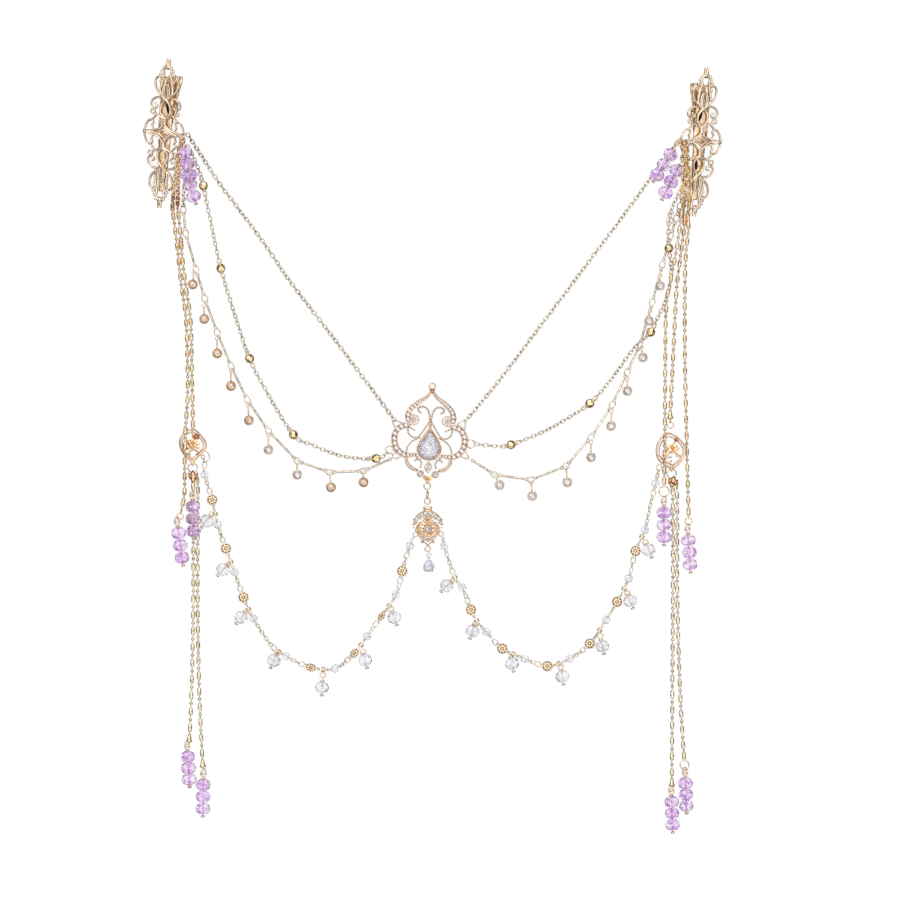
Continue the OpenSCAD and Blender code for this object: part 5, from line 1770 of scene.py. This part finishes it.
def build_pendant():
    place = spot(*PENDANT_AT)
    metal, stones, bright, gold = Casting(), Casting(), Casting(), Casting()
    z = 0.5
    for knots in PENDANT_WIRES:
        milgrain(metal, knots, z - 0.2, place, 0.34)
    for x, y, r in PENDANT_STONES:
        set_stone(metal, stones, (x, y), r, z, place, False, 0.26, 0.8)
    for x, y, spin, width, length in PENDANT_LEAVES:
        gold.add(leaf_blade(width, length, 0.2, 0.6, 1.0).moved(spot(x, y, z, spin)), place, 0, True)
    add_rosette(metal, stones, bright, gold, -8.1, z, place)
    lower = [(0.3, -1.2), (1.5, -1.15), (1.85, -0.8), (1.4, -0.35)]
    upper = [(1.4, 0.05), (1.85, 0.5), (1.5, 0.9), (0.3, 0.95)]
    collar = turned(lower + upper, 16)
    collar.points *= np.array([1.05, 1, 0.55]) * MM
    gold.add(collar, place @ spot(0, 0, 1.15))
    add_balls(bright, [(0.46 * k, -0.15, 1.95, 0.27) for k in range(-3, 4)], place, cuts=(7, 4))
    balls = ((2.1, -13.1, 0.42), (3.9, -9.9, 0.45), (5.6, -7.4, 0.34), (1.9, -1.5, 0.45), (4.3, -4.4, 0.36))
    add_balls(metal, [(x, y, z + 0.6, r) for x, y, r in balls], place, 0, True, (9, 5))
    add_balls(bright, [(4.2, -8.7, z + 0.5, 0.85)], place, 0, True)
    add_balls(bright, [(0, -14.4, z + 0.5, 0.5)], place, cuts=(9, 5))
    # Rings above and below, and those that carry the two garlands.
    rings = ((-0.15, 3.1, 1.2, 0.55, 10), (-0.15, 5.6, 1.45, 0.5, 76), (0, -15.9, 1.1, 0.55, 0))
    for x, y, r, thick, roll in rings:
        add_hoop(metal, (x, y, 1.35), r, thick, place, roll=roll)
    for x, y in ((-4.9, -10.2), (5.3, -9.9)):
        add_hoop(metal, (x, y, 1.3), 0.95, 0.45, place, (16, 7), tilt=8)
    metal.finish("pendant_frame", [rose_metal()], ROSE, "pendant")
    gold.finish("pendant_rosette", [gold_metal()], ROSE, "pendant")
    bright.finish("pendant_solder", [rose_bright()], ROSE, "pendant")
    stones.finish("pendant_stones", [zirconia(), paved_stone()], CLEAR, "pendant")
    build_pear_drop()


def build_pear_drop():
    place = spot(*PEAR_DROP_AT)
    gem, cage = Casting(), Casting()
    squat = (1.0, 0.86)
    add_stone(gem, cut_gem(pear_points(2.15, 20) * squat, 0.7, 0.06, 0.95), place @ spot(0, 0, 1.5))
    cage.add(wire(level(pear_points(2.15) * squat, 0.75), 0.22, 6, closed=True), place)
    for angle, reach in ((-135, 2.2), (-45, 2.2), (90, 3.75)):
        way = np.array([math.cos(math.radians(angle)), math.sin(math.radians(angle))])
        prong = [(*(way * reach), 0.6), (*(way * (reach - 0.1)), 1.25), (*(way * (reach - 0.4)), 1.9)]
        cage.add(wire(prong, 0.3, 7), place)
    add_hoop(cage, (0, 4.7, 1.2), 0.8, 0.5, place, (16, 7))
    gem.finish("pear_drop_cut", [clear_glass(), stone_foil()], CLEAR, "pear_drop")
    cage.finish("pear_drop_cage", [setting_metal()], ROSE, "pear_drop")


def build_medallions():
    outline = [(0, 0.1), (0.42, 0.35), (0.5, 0.75), (0.26, 1.05), (-0.26, 1.05), (-0.5, 0.75), (-0.42, 0.35)]
    leaves = ((-1.6, 1.6, 55), (2.3, 0.6, -60), (-1.4, -1.2, 120), (2.0, -0.9, -130))
    for side in SIDES:
        place = spot(*MEDALLION_AT[side])
        casting, bright = Casting(), Casting()
        hoop = np.array(MEDALLION_HOOPS[side])
        for share, height, radius in ((1.0, 0.6, 0.38), (0.82, 0.5, 0.25)):
            casting.add(wire(closed_curve(level(hoop * share, height)), radius, closed=True), place)
        for knots in MEDALLION_STROKES[side]:
            casting.add(stroke(knots, 0.5, 0.75, widen=1.15), place)
        for x, y, radius in BLOSSOMS[side]:
            petal = blade(np.array(outline) * radius, 0.4, 0.75, 1.25)
            for k in range(5):
                bright.add(petal, place @ spot(x, y, 0, 72 * k + 10))
            add_balls(casting, [(x, y, 0.95, 0.3 * radius)], place, cuts=(9, 5))
        for x, y, spin in leaves:
            bright.add(leaf_blade(1.3, 2.6, 0, 0.35, 0.7), place @ spot(x, y, 0.35, spin))
        casting.add(leaf_blade(1.7, 2.6, 0, 0.5, 0.9), place @ spot(0.2, -7.2, 0.2))
        add_hoop(casting, (0.2, -9.0, 0.5), 1.85, 0.6, place, (22, 8), 1)
        node = f"{side}_medallion"
        casting.finish(f"{node}_frame", [medallion_metal(), chain_metal()], ROSE, node)
        bright.finish(f"{node}_blossom", [rose_bright()], ROSE, node)


# Stage

def table_material():
    """Pale table: bright to the eye, calmer in the metal's reflections."""
    table = colours().table
    material, tree, shader = new_material("table_paper")
    shader.inputs["Roughness"].default_value = 0.9
    grain = add_node(tree, "TexNoise", {"Scale": 60.0})
    tones = {"A": (*table, 1), "B": (*[v * 0.985 for v in table], 1)}
    shade = add_node(tree, "Mix", tones, data_type="RGBA")
    path = add_node(tree, "LightPath")
    mirrored_only = add_node(tree, "Math", operation="SUBTRACT", use_clamp=True)
    calm = add_node(tree, "MapRange", {"To Min": 1.06, "To Max": 0.12})
    glow = add_node(tree, "Emission")
    both = add_node(tree, "MixShader", {0: 0.86})
    join_nodes(
        tree,
        (grain, "Fac", shade, "Factor"),
        (shade, "Result", shader, "Base Color"),
        (path, "Is Glossy Ray", mirrored_only, 0),
        (path, "Is Transmission Ray", mirrored_only, 1),
        (mirrored_only, "Value", calm, "Value"),
        (calm, "Result", glow, "Strength"),
        (shader, "BSDF", both, 1),
        (glow, "Emission", both, 2),
        (both, "Shader", tree.nodes["Material Output"], "Surface"),
    )
    return material


def height_ramp(tree, split, stops):
    """Colours of the room from below the horizon to overhead."""
    ramp = add_node(tree, "ValToRGB")
    elements = ramp.color_ramp.elements
    for element, (position, colour) in zip(elements, (stops[0], stops[-1])):
        element.position, element.color = position, (*colour, 1)
    for position, colour in stops[1:-1]:
        elements.new(position).color = (*colour, 1)
    join_nodes(tree, (split, "Z", ramp, "Fac"))
    return ramp


def studio_world():
    """Soft room, darker towards the horizon: one ramp for reflections, one for what glass lets through."""
    world = bpy.data.worlds.new("studio")
    world.use_nodes = True
    tree = world.node_tree
    where = add_node(tree, "TexCoord")
    split = add_node(tree, "SeparateXYZ")
    reflected = height_ramp(tree, split, (
        (0.0, (0.05, 0.04, 0.04)),
        (0.20, (0.10, 0.085, 0.08)),
        (0.42, (0.74, 0.72, 0.70)),
        (0.95, (1.20, 1.18, 1.15)),
    ))
    passed = height_ramp(tree, split, (
        (0.0, (0.08, 0.06, 0.10)),
        (0.22, (0.16, 0.14, 0.20)),
        (0.40, (1.0, 0.99, 1.0)),
        (0.95, (1.25, 1.25, 1.25)),
    ))
    path = add_node(tree, "LightPath")
    through = add_node(tree, "Mix", data_type="RGBA")
    seen = add_node(tree, "Mix", {"B": (0.93, 0.93, 0.93, 1)}, data_type="RGBA")
    join_nodes(
        tree,
        (where, "Generated", split, "Vector"),
        (reflected, "Color", through, "A"),
        (passed, "Color", through, "B"),
        (path, "Is Transmission Ray", through, "Factor"),
        (through, "Result", seen, "A"),
        (path, "Is Camera Ray", seen, "Factor"),
        (seen, "Result", tree.nodes["Background"], "Color"),
    )
    bpy.context.scene.world = world


def area_light(name, at, size, power, colour=(1, 1, 1)):
    """Softbox that faces the middle of the table."""
    data = bpy.data.lights.new(name, "AREA")
    data.shape = "RECTANGLE"
    data.size, data.size_y = size
    data.energy = power
    data.color = colour
    lamp = bpy.data.objects.new(name, data)
    lamp.location = at
    lamp.rotation_mode = "QUATERNION"
    lamp.rotation_quaternion = (-Vector(at)).to_track_quat("-Z", "Y")
    bpy.context.scene.collection.objects.link(lamp)


def build_stage():
    s = stage_settings()
    scene = bpy.context.scene
    mesh = bpy.data.meshes.new("table")
    half = 3.0
    corners = [(-half, -half, 0), (half, -half, 0), (half, half, 0), (-half, half, 0)]
    mesh.from_pydata(corners, [], [(0, 1, 2, 3)])
    mesh.materials.append(table_material())
    table = bpy.data.objects.new("table", mesh)
    scene.collection.objects.link(table)
    studio_world()
    area_light("softbox", (-0.75, 0.75, 1.1), (0.8, 0.8), s.softbox_power, (1.0, 0.985, 0.96))
    area_light("fill", (0.9, -0.55, 0.9), (0.35, 0.9), s.softbox_power * 0.4, (0.97, 0.98, 1.0))
    area_light("strip", (0.1, 1.1, 0.6), (1.2, 0.4), s.softbox_power * 0.8)
    data = bpy.data.cameras.new("camera")
    data.sensor_width = 36.0
    data.lens = data.sensor_width * s.camera_height / s.picture_width
    data.clip_end = 20
    camera = bpy.data.objects.new("camera", data)
    camera.location = (s.camera_x, s.camera_y, s.camera_height)
    scene.collection.objects.link(camera)
    scene.camera = camera
    scene.view_settings.view_transform = "Standard"


# Operators

class FACECHAIN_OT_stage(bpy.types.Operator):
    """Table, lights and the camera above them"""

    bl_idname = "facechain.stage"
    bl_label = "Stage"

    def execute(self, context):
        build_stage()
        return {"FINISHED"}


class FACECHAIN_OT_plates(bpy.types.Operator):
    """Filigree plates of both hair clips"""

    bl_idname = "facechain.plates"
    bl_label = "Filigree Plates"

    def execute(self, context):
        build_plates()
        return {"FINISHED"}


class FACECHAIN_OT_clips(bpy.types.Operator):
    """Duckbill clips with their lower jaws and springs"""

    bl_idname = "facechain.clips"
    bl_label = "Hair Clips"

    def execute(self, context):
        build_clips()
        return {"FINISHED"}


class FACECHAIN_OT_ornament(bpy.types.Operator):
    """Ogee frame with paved bands, scrolls and the pear stone"""

    bl_idname = "facechain.ornament"
    bl_label = "Ornament"

    def execute(self, context):
        build_ornament()
        return {"FINISHED"}


class FACECHAIN_OT_pendant(bpy.types.Operator):
    """Rosette pendant with its pear drop"""

    bl_idname = "facechain.pendant"
    bl_label = "Pendant"

    def execute(self, context):
        build_pendant()
        return {"FINISHED"}


class FACECHAIN_OT_top_chains(bpy.types.Operator):
    """Plain cable chains from the clips to the ornament"""

    bl_idname = "facechain.top_chains"
    bl_label = "Cable Chains"

    def execute(self, context):
        build_top_chains()
        return {"FINISHED"}


class FACECHAIN_OT_ball_chains(bpy.types.Operator):
    """Fine chains with cut gold balls"""

    bl_idname = "facechain.ball_chains"
    bl_label = "Ball Chains"

    def execute(self, context):
        build_ball_chains()
        return {"FINISHED"}


class FACECHAIN_OT_bar_chains(bpy.types.Operator):
    """Chains of straight bars and rings"""

    bl_idname = "facechain.bar_chains"
    bl_label = "Bar Chains"

    def execute(self, context):
        build_bar_chains()
        return {"FINISHED"}


class FACECHAIN_OT_stone_drops(bpy.types.Operator):
    """Round stones that hang from the bar chains"""

    bl_idname = "facechain.stone_drops"
    bl_label = "Stone Drops"

    def execute(self, context):
        build_stone_drops()
        return {"FINISHED"}


class FACECHAIN_OT_garlands(bpy.types.Operator):
    """Swags of links, clear beads and granulated discs"""

    bl_idname = "facechain.garlands"
    bl_label = "Garlands"

    def execute(self, context):
        build_garlands()
        return {"FINISHED"}


class FACECHAIN_OT_rondelle_drops(bpy.types.Operator):
    """Clear rondelles that hang from the garlands"""

    bl_idname = "facechain.rondelle_drops"
    bl_label = "Rondelle Drops"

    def execute(self, context):
        build_rondelle_drops()
        return {"FINISHED"}


class FACECHAIN_OT_medallions(bpy.types.Operator):
    """Round openwork medallions"""

    bl_idname = "facechain.medallions"
    bl_label = "Medallions"

    def execute(self, context):
        build_medallions()
        return {"FINISHED"}


class FACECHAIN_OT_tassels(bpy.types.Operator):
    """Tube-and-bead chains of the tassels"""

    bl_idname = "facechain.tassels"
    bl_label = "Tassel Chains"

    def execute(self, context):
        build_tassels()
        return {"FINISHED"}


class FACECHAIN_OT_violet_strands(bpy.types.Operator):
    """Strands of three cut violet beads"""

    bl_idname = "facechain.violet_strands"
    bl_label = "Violet Strands"

    def execute(self, context):
        build_violet_strands()
        return {"FINISHED"}


OPERATORS = (
    FACECHAIN_OT_stage,
    FACECHAIN_OT_plates,
    FACECHAIN_OT_clips,
    FACECHAIN_OT_ornament,
    FACECHAIN_OT_pendant,
    FACECHAIN_OT_top_chains,
    FACECHAIN_OT_ball_chains,
    FACECHAIN_OT_bar_chains,
    FACECHAIN_OT_stone_drops,
    FACECHAIN_OT_garlands,
    FACECHAIN_OT_rondelle_drops,
    FACECHAIN_OT_medallions,
    FACECHAIN_OT_tassels,
    FACECHAIN_OT_violet_strands,
)


class FACECHAIN_PT_panel(bpy.types.Panel):
    """Sizes, colours and one button for each group of pieces"""

    bl_idname = "FACECHAIN_PT_panel"
    bl_label = "Face Chain"
    bl_space_type = "VIEW_3D"
    bl_region_type = "UI"
    bl_category = "Face Chain"

    def draw(self, context):
        layout = self.layout
        scene = context.scene
        for group in (scene.face_chain_sizes, scene.face_chain_colours, scene.face_chain_stage):
            box = layout.box()
            for name in group.__annotations__:
                box.prop(group, name)
        for operator in OPERATORS:
            layout.operator(operator.bl_idname)


SETTINGS = (
    (ChainSizes, "face_chain_sizes"),
    (FinishColours, "face_chain_colours"),
    (StageSettings, "face_chain_stage"),
)


def register():
    for group, name in SETTINGS:
        bpy.utils.register_class(group)
        setattr(bpy.types.Scene, name, bpy.props.PointerProperty(type=group))
    for operator in OPERATORS:
        bpy.utils.register_class(operator)
    bpy.utils.register_class(FACECHAIN_PT_panel)


def unregister():
    bpy.utils.unregister_class(FACECHAIN_PT_panel)
    for operator in reversed(OPERATORS):
        bpy.utils.unregister_class(operator)
    for group, name in reversed(SETTINGS):
        delattr(bpy.types.Scene, name)
        bpy.utils.unregister_class(group)


def main():
    register()
    for operator in OPERATORS:
        family, name = operator.bl_idname.split(".")
        getattr(getattr(bpy.ops, family), name)()
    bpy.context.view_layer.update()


if __name__ == "__main__":
    main()
